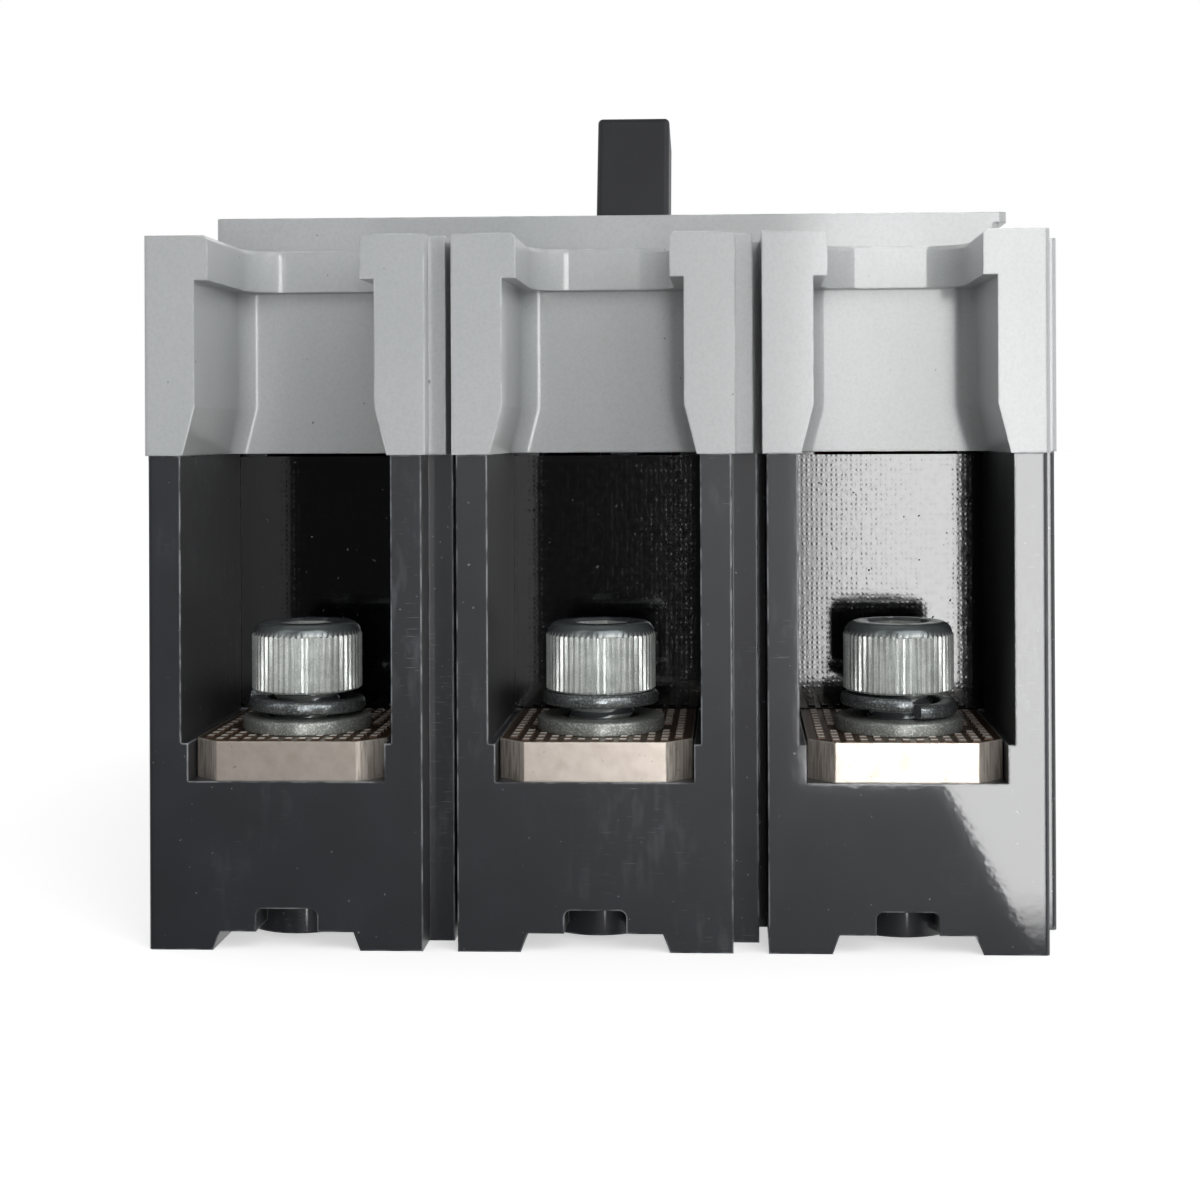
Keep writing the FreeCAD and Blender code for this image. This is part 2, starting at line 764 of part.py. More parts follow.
def make_cover():
    """Cover with a recess over each terminal and a lip that bridges the recess at the top."""
    blank = Moulding("cover_blank", whole=False)
    blank.extrude("cover_pad", "XY", case_outline("0"), ("seam", "cover_top"))
    blank.soften("cover_corners", "case_corner_radius", upright)
    below, above = f"seam - {CUT_OVER}", f"cover_top + {CUT_OVER}"
    foot_top, lip_under = "seam + recess_foot_height", "cover_top - lip_thickness"

    def bay(x, end, width, depth, corner):
        half = f"({width}) / 2"
        outside, back = f"{end} * (half_length + {CUT_OVER})", f"{end} * (half_length - {depth})"
        return [(f"{x} - {half}", outside), (f"{x} + {half}", outside),
                (f"{x} + {half}", back, corner), (f"{x} - {half}", back, corner)]

    tools = []
    for pole in POLES:
        x = pole_x(pole)
        tools.append(chamber_tool(x, below, "roof_under"))
        for end in (LINE, LOAD):
            recess = bay(x, end, "recess_width", "recess_depth", "recess_corner")
            wide_recess = bay(x, end, "recess_foot_width", "recess_depth", "recess_corner")
            opening = bay(x, end, "lip_opening_width", "lip_opening_depth", "lip_corner")
            wide_opening = bay(x, end, "lip_opening_width + 2 * lip_bevel", "lip_opening_depth",
                               "lip_corner")
            tools += [
                taper("recess_foot", (wide_recess, "seam"), (recess, foot_top)),
                prism("recess", "XY", recess, (foot_top, lip_under)),
                prism("lip_opening", "XY", opening, (lip_under, above)),
                taper("lip_bevel_cut", (opening, "cover_top - lip_bevel"), (wide_opening, "cover_top")),
            ]
    for side in (-1, 1):
        x = f"({side} * pole_spacing / 2)"
        for end in (LINE, LOAD):
            tools += barrier_slot(x, end, "cover_slot_width", "cover_slot_depth", (below, above))
            mount, cover_screw = (x, f"{end} * mount_y"), (x, f"{end} * cover_screw_y")
            panel_screw = (f"{side} * panel_screw_x", f"{end} * panel_screw_y")
            tools += [
                rod("mount_access", "mount_head_radius", "Z", mount, (below, above)),
                rod("cover_screw_way", "cover_screw_radius + seat_gap", "Z", cover_screw, (below, above)),
                rod("cover_screw_seat", "cover_screw_head_radius + seat_gap", "Z", cover_screw,
                    ("cover_top - cover_screw_head_height", above)),
                rod("panel_screw_way", "panel_screw_radius + seat_gap", "Z", panel_screw,
                    ("panel_top - panel_screw_length - 1", above)),
            ]
        tools.append(rod("cover_trip_bearing", "trip_radius + seat_gap", "X", ("trip_y", "seam"),
                         around(x, "partition + 2")))
    tools += [
        box("handle_window", both("handle_slot_width / 2"), both("handle_slot_length / 2"),
            ("roof_under - 1", above)),
        rod("button_way", "button_stem_radius + slide_gap", "Z", ("button_x", "button_y"),
            ("roof_under - 1", above)),
    ]
    hollow_bosses = []
    boss_bottom = "panel_top - panel_screw_length"
    for side, end in CORNERS:
        spot = (f"{side} * panel_screw_x", f"{end} * panel_screw_y")
        boss = rod("screw_boss", "panel_screw_radius + boss_wall", "Z", spot,
                   (f"{boss_bottom} - seat_gap", "roof_under"))
        way = rod("boss_way", "panel_screw_radius + seat_gap", "Z", spot, (f"{boss_bottom} - 1", "cover_top"))
        hollow_bosses.append(cut("hollow_boss", boss, way))
    rails = [box("shield_rail", (f"{near} - rail_width / 2", f"{near} + rail_width / 2"),
                 both("rail_length / 2"), ("cover_top", "dust_shield_z - seat_gap"))
             for near in (f"{side} * (dust_shield_width - rail_width) / 2" for side in (-1, 1))]
    stand_alone("cover", fuse("cover_whole", cut("cover_cut", blank.body, *tools), *hollow_bosses, *rails))


def make_front_panel():
    """Raised front panel with a finger lip at its right end and a bezel round the handle slot."""
    panel = Moulding("front_panel")
    half_x, half_y = "panel_width / 2", "panel_length / 2"
    lip_bottom = "panel_top - panel_lip_thickness"
    above = f"panel_top + bezel_height + {CUT_OVER}"

    def plate(inset):
        left, right = f"-({half_x})", f"{half_x} - {inset}"
        corners = [(left, f"-({half_y})"), (right, f"-({half_y})"), (right, half_y), (left, half_y)]
        return [(*corner, "panel_corner_radius") for corner in corners]

    panel.extrude("panel_walls", "XY", plate("panel_lip"), ("cover_top", lip_bottom))
    panel.extrude("panel_plate", "XY", plate("0"), (lip_bottom, "panel_top"))
    panel.box("panel_hollow", (f"panel_wall - {half_x}", f"{half_x} - panel_lip - panel_wall"),
              both(f"{half_y} - panel_wall"), (f"cover_top - {CUT_OVER}", "panel_under"), cut=True)
    panel.box("bezel", both("bezel_width / 2"), both("bezel_length / 2"),
              ("panel_top - 0.5", "panel_top + bezel_height"))
    panel.soften("bezel_slopes", "bezel_slope",
                 lambda edge: edge.BoundBox.ZMin > value("panel_top + bezel_height") - 0.1, flat=True)
    panel.box("handle_slot", both("handle_slot_width / 2"), both("handle_slot_length / 2"),
              ("cover_top", above), cut=True)
    head_seat = "panel_top + panel_screw_proud - panel_screw_head_height"
    for side, end in CORNERS:
        spot = (f"{side} * panel_screw_x", f"{end} * panel_screw_y")
        panel.rod("panel_boss", "panel_screw_head_radius + boss_wall", "Z", spot,
                  ("cover_top", "panel_under"))
        panel.rod("panel_screw_hole", "panel_screw_radius + seat_gap", "Z", spot,
                  (f"cover_top - {CUT_OVER}", above), cut=True)
        panel.rod("panel_head_seat", "panel_screw_head_radius + seat_gap", "Z", spot, (head_seat, above),
                  cut=True)
    panel.rod("button_hole", "button_head_radius + slide_gap", "Z", ("button_x", "button_y"),
              ("panel_under - 1", above), cut=True)


def make_case_screws():
    """Screws of the cover and of the front panel: a shank under a flat head."""
    def screw(name, x, y, radius, length, head_radius, head_height, top):
        seat = f"{top} - {head_height}"
        shank = rod(name + "_shank", radius, "Z", (x, y), (f"{seat} + {head_height} - {length}", seat))
        head = rod(name + "_head", head_radius, "Z", (x, y), (seat, top))
        slot = box(name + "_slot", around(x, f"1.6 * {head_radius}"), around(y, f"{head_radius} / 4"),
                   (f"{top} - {head_height} / 3", f"{top} + 1"))
        return cut(name, fuse(name + "_body", shank, head), slot)

    gather("cover_screws", [
        screw(f"cover_screw_{index}", f"{side} * pole_spacing / 2", f"{end} * cover_screw_y",
              "cover_screw_radius", "cover_screw_length", "cover_screw_head_radius",
              "cover_screw_head_height", "cover_top")
        for index, (side, end) in enumerate(CORNERS)])
    gather("panel_screws", [
        screw(f"panel_screw_{index}", f"{side} * panel_screw_x", f"{end} * panel_screw_y",
              "panel_screw_radius", "panel_screw_length", "panel_screw_head_radius",
              "panel_screw_head_height", "(panel_top + panel_screw_proud)")
        for index, (side, end) in enumerate(CORNERS)])


def make_insulating_plates():
    """Fibre plates that close the arc vents at the back of the terminal compartments."""
    half = "(compartment_width / 2 + insulating_plate_inlet - seat_gap)"
    corner = "insulating_plate_corner"
    low, high = "tang_top + seat_gap", "seam - insulating_plate_drop"
    span = ("wall_front + seat_gap", "compartment_back")
    for end, label in ((LINE, "line_insulating_plates"), (LOAD, "load_insulating_plates")):
        plates = []
        for pole in POLES:
            x = pole_x(pole)
            corners = [(f"{x} - {half}", low, corner), (f"{x} + {half}", low, corner),
                       (f"{x} + {half}", high), (f"{x} - {half}", high)]
            plates.append(prism(f"insulating_plate_{pole}", "XZ", corners, ordered(end, *span)))
        gather(label, plates)


def terminal_outline(x, end, reach):
    """Terminal seen from above: a wide chamfered tang and a narrower bar into the chamber."""
    tang, bar = "tang_width / 2", "bar_width / 2"
    front = "half_length - tang_setback"
    shoulder = "chamber_end - seat_gap"
    right = [(bar, reach), (bar, shoulder), (tang, shoulder), (tang, f"{front} - tang_chamfer"),
             (f"{tang} - tang_chamfer", front)]
    corners = [(f"{x} + {across}", along) for across, along in right]
    corners += [(f"{x} - ({across})", along) for across, along in reversed(right)]
    return [(across, f"{end} * ({along})") for across, along in corners]


def make_terminals():
    """Line terminals end under the contacts; load terminals carry an upright heater strip."""
    for pole in POLES:
        x = pole_x(pole)
        for end, side, reach in ((LINE, "line", "line_bar_reach"), (LOAD, "load", "load_bar_reach")):
            terminal = Moulding(f"{side}_terminal_{pole}")
            terminal.extrude("tang", "XY", terminal_outline(x, end, reach), ("compartment_floor", "tang_top"))
            if end == LOAD:
                terminal.box("heater", around(x, "heater_width"), ("heater_y", "heater_y + heater_thickness"),
                             ("tang_top", "heater_top"))
            terminal.rod("screw_hole", "screw_radius + screw_clearance", "Z", (x, f"{end} * screw_y"),
                         ("compartment_floor - 1", "tang_top + 1"), cut=True)


def make_terminal_hardware():
    """Socket head screw, spring washer, flat washer and square nut at each of the six terminals."""
    screws, springs, flats, nuts = [], [], [], []
    for end in (LINE, LOAD):
        for pole in POLES:
            x, y = pole_x(pole), f"{end} * screw_y"
            tag = f"{'line' if end == LINE else 'load'}_{pole}"
            head_top = "head_seat + screw_head_height"
            shank = rod(f"shank_{tag}", "screw_radius", "Z", (x, y),
                        ("head_seat - screw_length", "head_seat"))
            head = rod(f"head_{tag}", "screw_head_radius", "Z", (x, y),
                       ("head_seat", f"{head_top} - screw_head_bevel"))
            crown = doc.addObject("Part::Cone", f"crown_{tag}")
            bind(crown, Radius1="screw_head_radius", Radius2="screw_head_radius - screw_head_bevel",
                 Height="screw_head_bevel")
            move(crown, x, y, f"{head_top} - screw_head_bevel")
            socket = doc.addObject("Part::Prism", f"socket_{tag}")
            socket.Polygon = 6
            bind(socket, Circumradius="screw_socket_width / sqrt(3)", Height="screw_socket_depth + 1")
            move(socket, x, y, f"{head_top} - screw_socket_depth")
            screws.append(cut(f"screw_{tag}", fuse(f"screw_blank_{tag}", shank, head, crown), socket))

            ring = rod(f"ring_{tag}", "spring_washer_radius", "Z", (x, y),
                       ("flat_washer_top", "head_seat - seat_gap"))
            bore = rod(f"bore_{tag}", "spring_washer_radius - spring_washer_section", "Z", (x, y),
                       ("flat_washer_top - 1", "head_seat + 1"))
            split = box(f"split_{tag}", (x, f"{x} + spring_washer_radius + 1"),
                        around(y, "spring_washer_split"), ("flat_washer_top - 1", "head_seat + 1"))
            springs.append(cut(f"spring_washer_{tag}", ring, bore, split))

            disc = rod(f"disc_{tag}", "flat_washer_radius", "Z", (x, y), ("tang_top", "flat_washer_top"))
            hole = rod(f"hole_{tag}", "screw_radius + screw_clearance", "Z", (x, y),
                       ("tang_top - 1", "flat_washer_top + 1"))
            flats.append(cut(f"flat_washer_{tag}", disc, hole))

            block = box(f"block_{tag}", around(x, "nut_width"), around(y, "nut_width"),
                        ("compartment_floor - nut_height", "compartment_floor - seat_gap / 2"))
            thread = rod(f"thread_{tag}", "screw_radius + seat_gap", "Z", (x, y),
                         ("compartment_floor - nut_height - 1", "compartment_floor + 1"))
            nuts.append(cut(f"nut_{tag}", block, thread))
    gather("terminal_screws", screws)
    gather("spring_washers", springs)
    gather("flat_washers", flats)
    gather("terminal_nuts", nuts)


def make_contacts():
    """Fixed tips, moving arms with their tips, and the pins that hold the arms in the crossbar."""
    tip = "contact_tip_length"
    gather("fixed_contact_tips", [
        box(f"fixed_tip_{pole}", around(pole_x(pole), "contact_tip_width"), around("-contact_y", tip),
            ("tang_top", "fixed_tip_top")) for pole in POLES])
    nose = f"moving_tip_y - {tip} / 2 - arm_tip_overhang"
    root = "-crossbar_radius - arm_root_gap"
    moving_tips, pins = [], []
    for pole in POLES:
        arm = Moulding(f"moving_contact_{pole}")
        arm.extrude("arm_blank", "YZ",
                    [(nose, "nose_z"), (f"moving_tip_y + {tip} / 2 + arm_heel", "nose_z"),
                     (root, "-arm_height / 2"), ("arm_tail", "-arm_height / 2"),
                     ("arm_tail", "arm_height / 2"),
                     (root, "arm_height / 2"), (f"moving_tip_y + {tip}", "nose_z + arm_nose_height"),
                     (f"{nose} + arm_nose_chamfer", "nose_z + arm_nose_height"),
                     (nose, "nose_z + arm_nose_height - arm_nose_chamfer")],
                    around(pole_x(pole), "arm_thickness"))
        arm.rod("arm_bore", "arm_pin_radius + pin_gap", "X", ("0", "0"),
                around(pole_x(pole), "arm_thickness + 2"), cut=True)
        arm.rod("lever_notch", "link_pin_radius + pin_gap", "X", ("lever_y", "lever_z"),
                around(pole_x(pole), "arm_thickness + 2"), cut=True)
        hang(arm.body, "crossbar_y", "crossbar_z", "-open_angle")
        moving_tips.append(box(f"moving_tip_{pole}", around(pole_x(pole), "contact_tip_width - 1"),
                               around("moving_tip_y", tip), ("moving_tip_z", "nose_z")))
        pins.append(rod(f"arm_pin_{pole}", "arm_pin_radius", "X", ("0", "0"),
                        around(pole_x(pole), "arm_pin_length")))
    for label, pieces in (("moving_contact_tips", moving_tips), ("arm_pins", pins)):
        hang(gather(label, pieces), "crossbar_y", "crossbar_z", "-open_angle")


def make_crossbar():
    """Moulded drum across the three poles, with a tunnel for each arm and ears for the lower links."""
    bar = Moulding("crossbar")
    half = "pole_spacing + chamber_width / 2 - seat_gap * 2"
    bar.rod("drum", "crossbar_radius", "X", ("0", "0"), both(half))
    ear_inner, ear_outer = "lever_ear_inner", "lever_ear_inner + lever_ear_thickness"
    for side in (-1, 1):
        span = (ear_inner, ear_outer) if side == 1 else (f"-({ear_outer})", f"-({ear_inner})")
        bar.extrude("ear", "YZ",
                    [("lever_y", "lever_z - lever_ear_radius"), ("0", "-crossbar_radius + 1"),
                     ("0", "crossbar_radius - 1"), ("lever_y", "lever_z + lever_ear_radius")], span)
        bar.rod("ear_end", "lever_ear_radius", "X", ("lever_y", "lever_z"), span)
    bar.rod("lever_bore", "link_pin_radius + pin_gap", "X", ("lever_y", "lever_z"),
            both(f"{ear_outer} + 1"), cut=True)
    for pole in POLES:
        bar.box("arm_tunnel", around(pole_x(pole), "arm_thickness + 2 * seat_gap"),
                both("crossbar_radius + 1"), both("arm_height / 2 + seat_gap"), cut=True)
        bar.rod("pin_bore", "arm_pin_radius + pin_gap", "X", ("0", "0"),
                around(pole_x(pole), "arm_pin_length + 2 * seat_gap"), cut=True)
    hang(bar.body, "crossbar_y", "crossbar_z", "-open_angle")
    caps = []
    for side in (-1, 1):
        wall = around(f"{side} * pole_spacing / 2", "partition - 2 * seat_gap")
        block = box(f"cap_block_{side + 1}", wall, around("crossbar_y", "2 * crossbar_radius"),
                    ("crossbar_z", "seam - seat_gap"))
        bearing = rod(f"cap_bearing_{side + 1}", "crossbar_radius + seat_gap", "X",
                      ("crossbar_y", "crossbar_z"), wall)
        caps.append(cut(f"cap_{side + 1}", block, bearing))
    gather("bearing_caps", caps)


def link(name, length, offset, thickness, end_radius, far_radius, side):
    """A flat link from its pivot at the origin to its far hole straight up, on one side of the pole."""
    span = (offset, f"{offset} + {thickness}")
    if side < 0:
        span = (f"-({span[1]})", f"-({span[0]})")
    through = both(f"{offset} + {thickness} + 1")
    plate = fuse(f"{name}_plate",
                 rod(f"{name}_near", "link_radius", "X", ("0", "0"), span),
                 rod(f"{name}_far", "link_radius", "X", ("0", length), span),
                 box(f"{name}_web", span, both("link_radius * 0.8"),
                     ("0", length) if value(length) > 0 else (length, "0")))
    return cut(name, plate, rod(f"{name}_pivot", end_radius, "X", ("0", "0"), through),
               rod(f"{name}_hole", far_radius, "X", ("0", length), through))


def make_linkage():
    """Toggle links between the crossbar and the cradle, with their pins."""
    pin, knee = "link_pin_radius + pin_gap", "link_pin_radius + knee_play"
    lower = [link(f"lower_link_{side + 1}", "lower_link_length", "lower_link_offset", "link_thickness",
                  pin, pin, side) for side in (-1, 1)]
    hang(gather("lower_links", lower), "open_pin_y", "open_pin_z",
         "atan2(open_pin_y - knee_y; knee_z - open_pin_z)")
    upper = [link(f"upper_link_{side + 1}", "-upper_link_length", "upper_link_offset", "link_thickness", pin,
                  knee, side) for side in (-1, 1)]
    hang(gather("upper_links", upper), "upper_pin_y", "upper_pin_z",
         "atan2(knee_y - upper_pin_y; upper_pin_z - knee_z)")
    stand_alone("knee_pin", rod("knee_pin_rod", "link_pin_radius", "X", ("knee_y", "knee_z"),
                                both("toggle_spring_offset + toggle_spring_radius")))
    stand_alone("lever_pin", rod("lever_pin_rod", "link_pin_radius", "X", ("open_pin_y", "open_pin_z"),
                                 both("lever_ear_inner + lever_ear_thickness")))
    cradle = Moulding("cradle")
    nose_y = "trip_y - latch_hook + latch_overlap"
    top = "latch_hook_z - seat_gap"
    bottom = "upper_pin_z - cradle_height / 2"
    pivot_low = "cradle_pivot_z - cradle_height / 2"
    nose_start, nose_low = f"{nose_y} - cradle_nose_length", f"{top} - cradle_nose_height"
    tail = "cradle_pivot_y - cradle_height / 2"
    cradle.extrude("cradle_plate", "YZ",
                   [(tail, pivot_low), ("cradle_pivot_y + cradle_heel", pivot_low),
                    ("upper_pin_y + cradle_belly_start", bottom), ("upper_pin_y + cradle_belly_end", bottom),
                    (nose_start, nose_low), (nose_y, nose_low), (nose_y, top), (nose_start, top),
                    ("upper_pin_y", "upper_pin_z + cradle_height / 2"),
                    (tail, "cradle_pivot_z + cradle_height / 2")],
                   both("cradle_thickness / 2"))
    for y, z in (("cradle_pivot_y", "cradle_pivot_z"), ("upper_pin_y", "upper_pin_z")):
        cradle.rod("cradle_bore", "link_pin_radius + pin_gap", "X", (y, z), both("cradle_thickness"),
                   cut=True)


def mechanism_screw_x():
    """Distance of the side plates' screws from the middle."""
    return "side_plate_offset - side_plate_foot / 2"


def mechanism_screw_rows():
    """The two rows of screws under the side plates' legs."""
    clear = "crossbar_radius + 2 * slide_gap + side_plate_leg / 2"
    return f"crossbar_y - ({clear})", f"crossbar_y + {clear}"


def make_side_plates():
    """Two steel plates that straddle the crossbar and stand on the base with bent feet."""
    outer = "side_plate_offset + side_plate_thickness"
    gap = "crossbar_radius + 2 * slide_gap"
    low, high = f"crossbar_y - ({gap})", f"crossbar_y + {gap}"
    arch = "crossbar_z + crossbar_radius + side_plate_arch_gap"
    shelf = f"{arch} + side_plate_bridge"
    for side, name in ((-1, "left_side_plate"), (1, "right_side_plate")):
        plate = Moulding(name)
        span = ("side_plate_offset", outer)
        foot = ("side_plate_offset - side_plate_foot", "side_plate_offset")
        if side < 0:
            span, foot = [(f"-({far})", f"-({near})") for near, far in (span, foot)]
        plate.extrude("wall", "YZ",
                      [(f"{low} - side_plate_leg", "chamber_floor"), (low, "chamber_floor"), (low, arch),
                       (high, arch), (high, "chamber_floor"), (f"{high} + side_plate_leg", "chamber_floor"),
                       (f"{high} + side_plate_leg", shelf), ("side_plate_rear", "handle_z"),
                       ("side_plate_rear", "side_plate_top - side_plate_chamfer"),
                       ("side_plate_rear - side_plate_chamfer", "side_plate_top"),
                       ("side_plate_front + side_plate_chamfer", "side_plate_top"),
                       ("side_plate_front", "side_plate_top - side_plate_chamfer"),
                       ("side_plate_front", "cradle_pivot_z - side_plate_chin"),
                       (f"{low} - side_plate_leg", shelf)], span)
        for row, y in enumerate(mechanism_screw_rows()):
            plate.box("foot", foot, around(y, "side_plate_leg"),
                      ("chamber_floor", "chamber_floor + side_plate_thickness"))
            plate.rod("foot_hole", "mechanism_screw_radius + seat_gap", "Z",
                      (f"{side} * ({mechanism_screw_x()})", y), ("chamber_floor - 1", "chamber_floor + 4"),
                      cut=True)
        through = both(f"{outer} + 1")
        plate.rod("yoke_pin_hole", "yoke_pin_radius + pin_gap", "X", ("0", "handle_z"), through, cut=True)
        plate.rod("cradle_pin_hole", "link_pin_radius + pin_gap", "X", ("cradle_pivot_y", "cradle_pivot_z"),
                  through, cut=True)
    screws = []
    seat = "mechanism_screw_recess"
    for side in (-1, 1):
        for row, y in enumerate(mechanism_screw_rows()):
            spot = (f"{side} * ({mechanism_screw_x()})", y)
            tag = f"{side + 1}_{row}"
            shank = rod(f"mechanism_shank_{tag}", "mechanism_screw_radius", "Z", spot,
                        (seat, "chamber_floor + side_plate_thickness + mechanism_screw_end"))
            head = rod(f"mechanism_head_{tag}", "mechanism_screw_head_radius", "Z", spot,
                       (f"{seat} - mechanism_screw_head_height", seat))
            screws.append(fuse(f"mechanism_screw_{tag}", shank, head))
    gather("mechanism_screws", screws)
    pins = [
        rod("cradle_pin", "link_pin_radius", "X", ("cradle_pivot_y", "cradle_pivot_z"), both(outer)),
        rod("cradle_link_pin", "link_pin_radius", "X", ("upper_pin_y", "upper_pin_z"),
            both("upper_link_offset + link_thickness + pin_end")),
    ]
    for side in (-1, 1):
        span = ("side_plate_offset", "yoke_pin_outer + 2 * seat_gap")
        if side < 0:
            span = (f"-({span[1]})", f"-({span[0]})")
        pins.append(rod(f"yoke_pin_{side + 1}", "yoke_pin_radius", "X", ("0", "handle_z"), span))
    gather("mechanism_pins", pins)


def make_handle():
    """Moulded handle on a steel yoke that pivots outside the side plates."""
    handle = Moulding("handle")
    half = "handle_thickness / 2"
    handle.box("lever", both("handle_width / 2"), both(half), ("handle_foot", "handle_reach"))
    handle.soften("lever_edges", "handle_tip_radius",
                  lambda edge: edge.CenterOfMass.z > value("handle_foot") + 1)
    handle.box("tab_socket", both("yoke_tab_width / 2 + seat_gap"), both("yoke_thickness / 2 + seat_gap"),
               ("handle_foot - 1", "yoke_web_top + yoke_tab_height + seat_gap"), cut=True)
    hang(handle.body, "0", "handle_z", "-handle_lean")
    yoke = Moulding("handle_yoke")
    outer = "yoke_pin_outer"
    arms = both("yoke_width / 2")
    yoke.box("yoke_block", both(outer), arms, ("-yoke_width / 2", "yoke_web_top"))
    yoke.box("yoke_opening", both("yoke_offset"), both("yoke_width"),
             ("-yoke_width", "yoke_web_top - yoke_thickness"), cut=True)
    yoke.box("yoke_tab", both("yoke_tab_width / 2"), both("yoke_thickness / 2"),
             ("yoke_web_top - 0.5", "yoke_web_top + yoke_tab_height"))
    through = both(f"{outer} + 1")
    yoke.rod("yoke_bore", "yoke_pin_radius + pin_gap", "X", ("0", "0"), through, cut=True)
    yoke.rod("spring_pin_bore", "spring_pin_radius + pin_gap", "X", ("0", "spring_pin_reach"), through,
             cut=True)
    hang(yoke.body, "0", "handle_z", "-handle_lean")
    stand_alone("spring_pin", rod("spring_pin_rod", "spring_pin_radius", "X",
                                  ("spring_pin_y", "spring_pin_z"), both(outer)))
    shield = Moulding("dust_shield")
    shield.box("shield_plate", both("dust_shield_width / 2"), both("dust_shield_length / 2"),
               ("dust_shield_z", "dust_shield_z + dust_shield_thickness"))
    shield.box("shield_hole", both("handle_width / 2 + seat_gap * 2"), both("dust_shield_hole / 2"),
               ("dust_shield_z - 1", "dust_shield_z + 2"), cut=True)
    move(shield.body, "0", "(dust_shield_z + dust_shield_thickness / 2 - handle_z) * tan(handle_lean)")


def coil(name, start, end, radius, wire, turns):
    """A helical wire between two points, both given as (x, y, z) expressions."""
    low = FreeCAD.Vector(*(value(item) for item in start))
    high = FreeCAD.Vector(*(value(item) for item in end))
    along = high - low
    mean, thick = value(radius) - value(wire), value(wire)
    pitch = along.Length / value(turns)
    helix = Part.makeHelix(pitch, along.Length, mean)
    section = Part.Wire(Part.makeCircle(thick, FreeCAD.Vector(mean, 0, 0), FreeCAD.Vector(0, 1, 0)))
    spring = doc.addObject("Part::Feature", name)
    spring.Shape = Part.Wire(helix).makePipeShell([section], True, True)
    spring.Placement = FreeCAD.Placement(low, FreeCAD.Rotation(FreeCAD.Vector(0, 0, 1), along))
    return spring


def make_springs():
    """Pair of toggle springs from the knee pin to the yoke, and the button's return spring."""
    springs = []
    for side in (-1, 1):
        x = f"{side} * toggle_spring_offset"
        low_end = (x, "knee_y", "knee_z + link_pin_radius + toggle_spring_end")
        high_end = (x, "spring_pin_y", "spring_pin_z - spring_pin_radius - toggle_spring_end")
        springs.append(coil(f"toggle_spring_{side + 1}", low_end, high_end, "toggle_spring_radius",
                            "toggle_spring_wire", "toggle_spring_turns"))
    gather("toggle_springs", springs)
    wire = "button_spring_wire"
    low_end = ("button_x", "button_y", f"cover_top + {wire} + pin_gap")
    high_end = ("button_x", "button_y", f"button_flange_bottom - {wire} - pin_gap")
    stand_alone("button_spring", coil("button_coil", low_end, high_end,
                                      "button_flange_radius - button_spring_inset", wire,
                                      "button_spring_turns"))


def make_arc_chutes():
    """Steel splitter plates held by their tabs between two fibre sides, one chute in each pole."""
    sides = []
    bottom = "chute_bottom"
    for pole in POLES:
        x = pole_x(pole)
        inner = "chute_half - chute_side_thickness"
        plates = []
        for index in range(int(value("splitter_count"))):
            low = f"{bottom} + chute_first + splitter_spacing * {index}"
            span = (low, f"{low} + splitter_thickness")
            plate = box(f"splitter_{pole}_{index}", around(x, f"2 * ({inner} - seat_gap)"),
                        ("-chute_back", "-chute_front + splitter_leg"), span)
            tabs = box(f"splitter_tabs_{pole}_{index}", around(x, "2 * (chute_half - seat_gap)"),
                       around("-(chute_back + chute_front) / 2", "splitter_tab"), span)
            notch = box(f"splitter_notch_{pole}_{index}", around(x, "splitter_notch_width"),
                        ("-chute_front - splitter_notch_depth", "-chute_front + splitter_leg + 1"),
                        (f"{low} - 1", f"{low} + splitter_thickness + 1"))
            plates.append(cut(f"splitter_plate_{pole}_{index}",
                              fuse(f"splitter_blank_{pole}_{index}", plate, tabs), notch))
        gather(f"arc_plates_{pole}", plates)
        for side in (-1, 1):
            tag = f"{pole}_{side + 1}"
            near, far = f"{x} + {side} * ({inner})", f"{x} + {side} * chute_half"
            wall = box(f"chute_wall_{tag}", (near, far) if side > 0 else (far, near),
                       ("-chute_back", "-chute_side_front"), (bottom, f"{bottom} + chute_height"))
            middle = f"{bottom} + chute_first + splitter_thickness / 2"
            slots = [box(f"chute_slot_{tag}_{index}", around(f"{x} + {side} * chute_half", "chute_half"),
                         around("-(chute_back + chute_front) / 2", "splitter_tab + 2 * seat_gap"),
                         around(f"{middle} + splitter_spacing * {index}",
                                "splitter_thickness + 2 * seat_gap"))
                     for index in range(int(value("splitter_count")))]
            sides.append(cut(f"chute_side_{tag}", wall, *slots))
    gather("arc_chute_sides", sides)


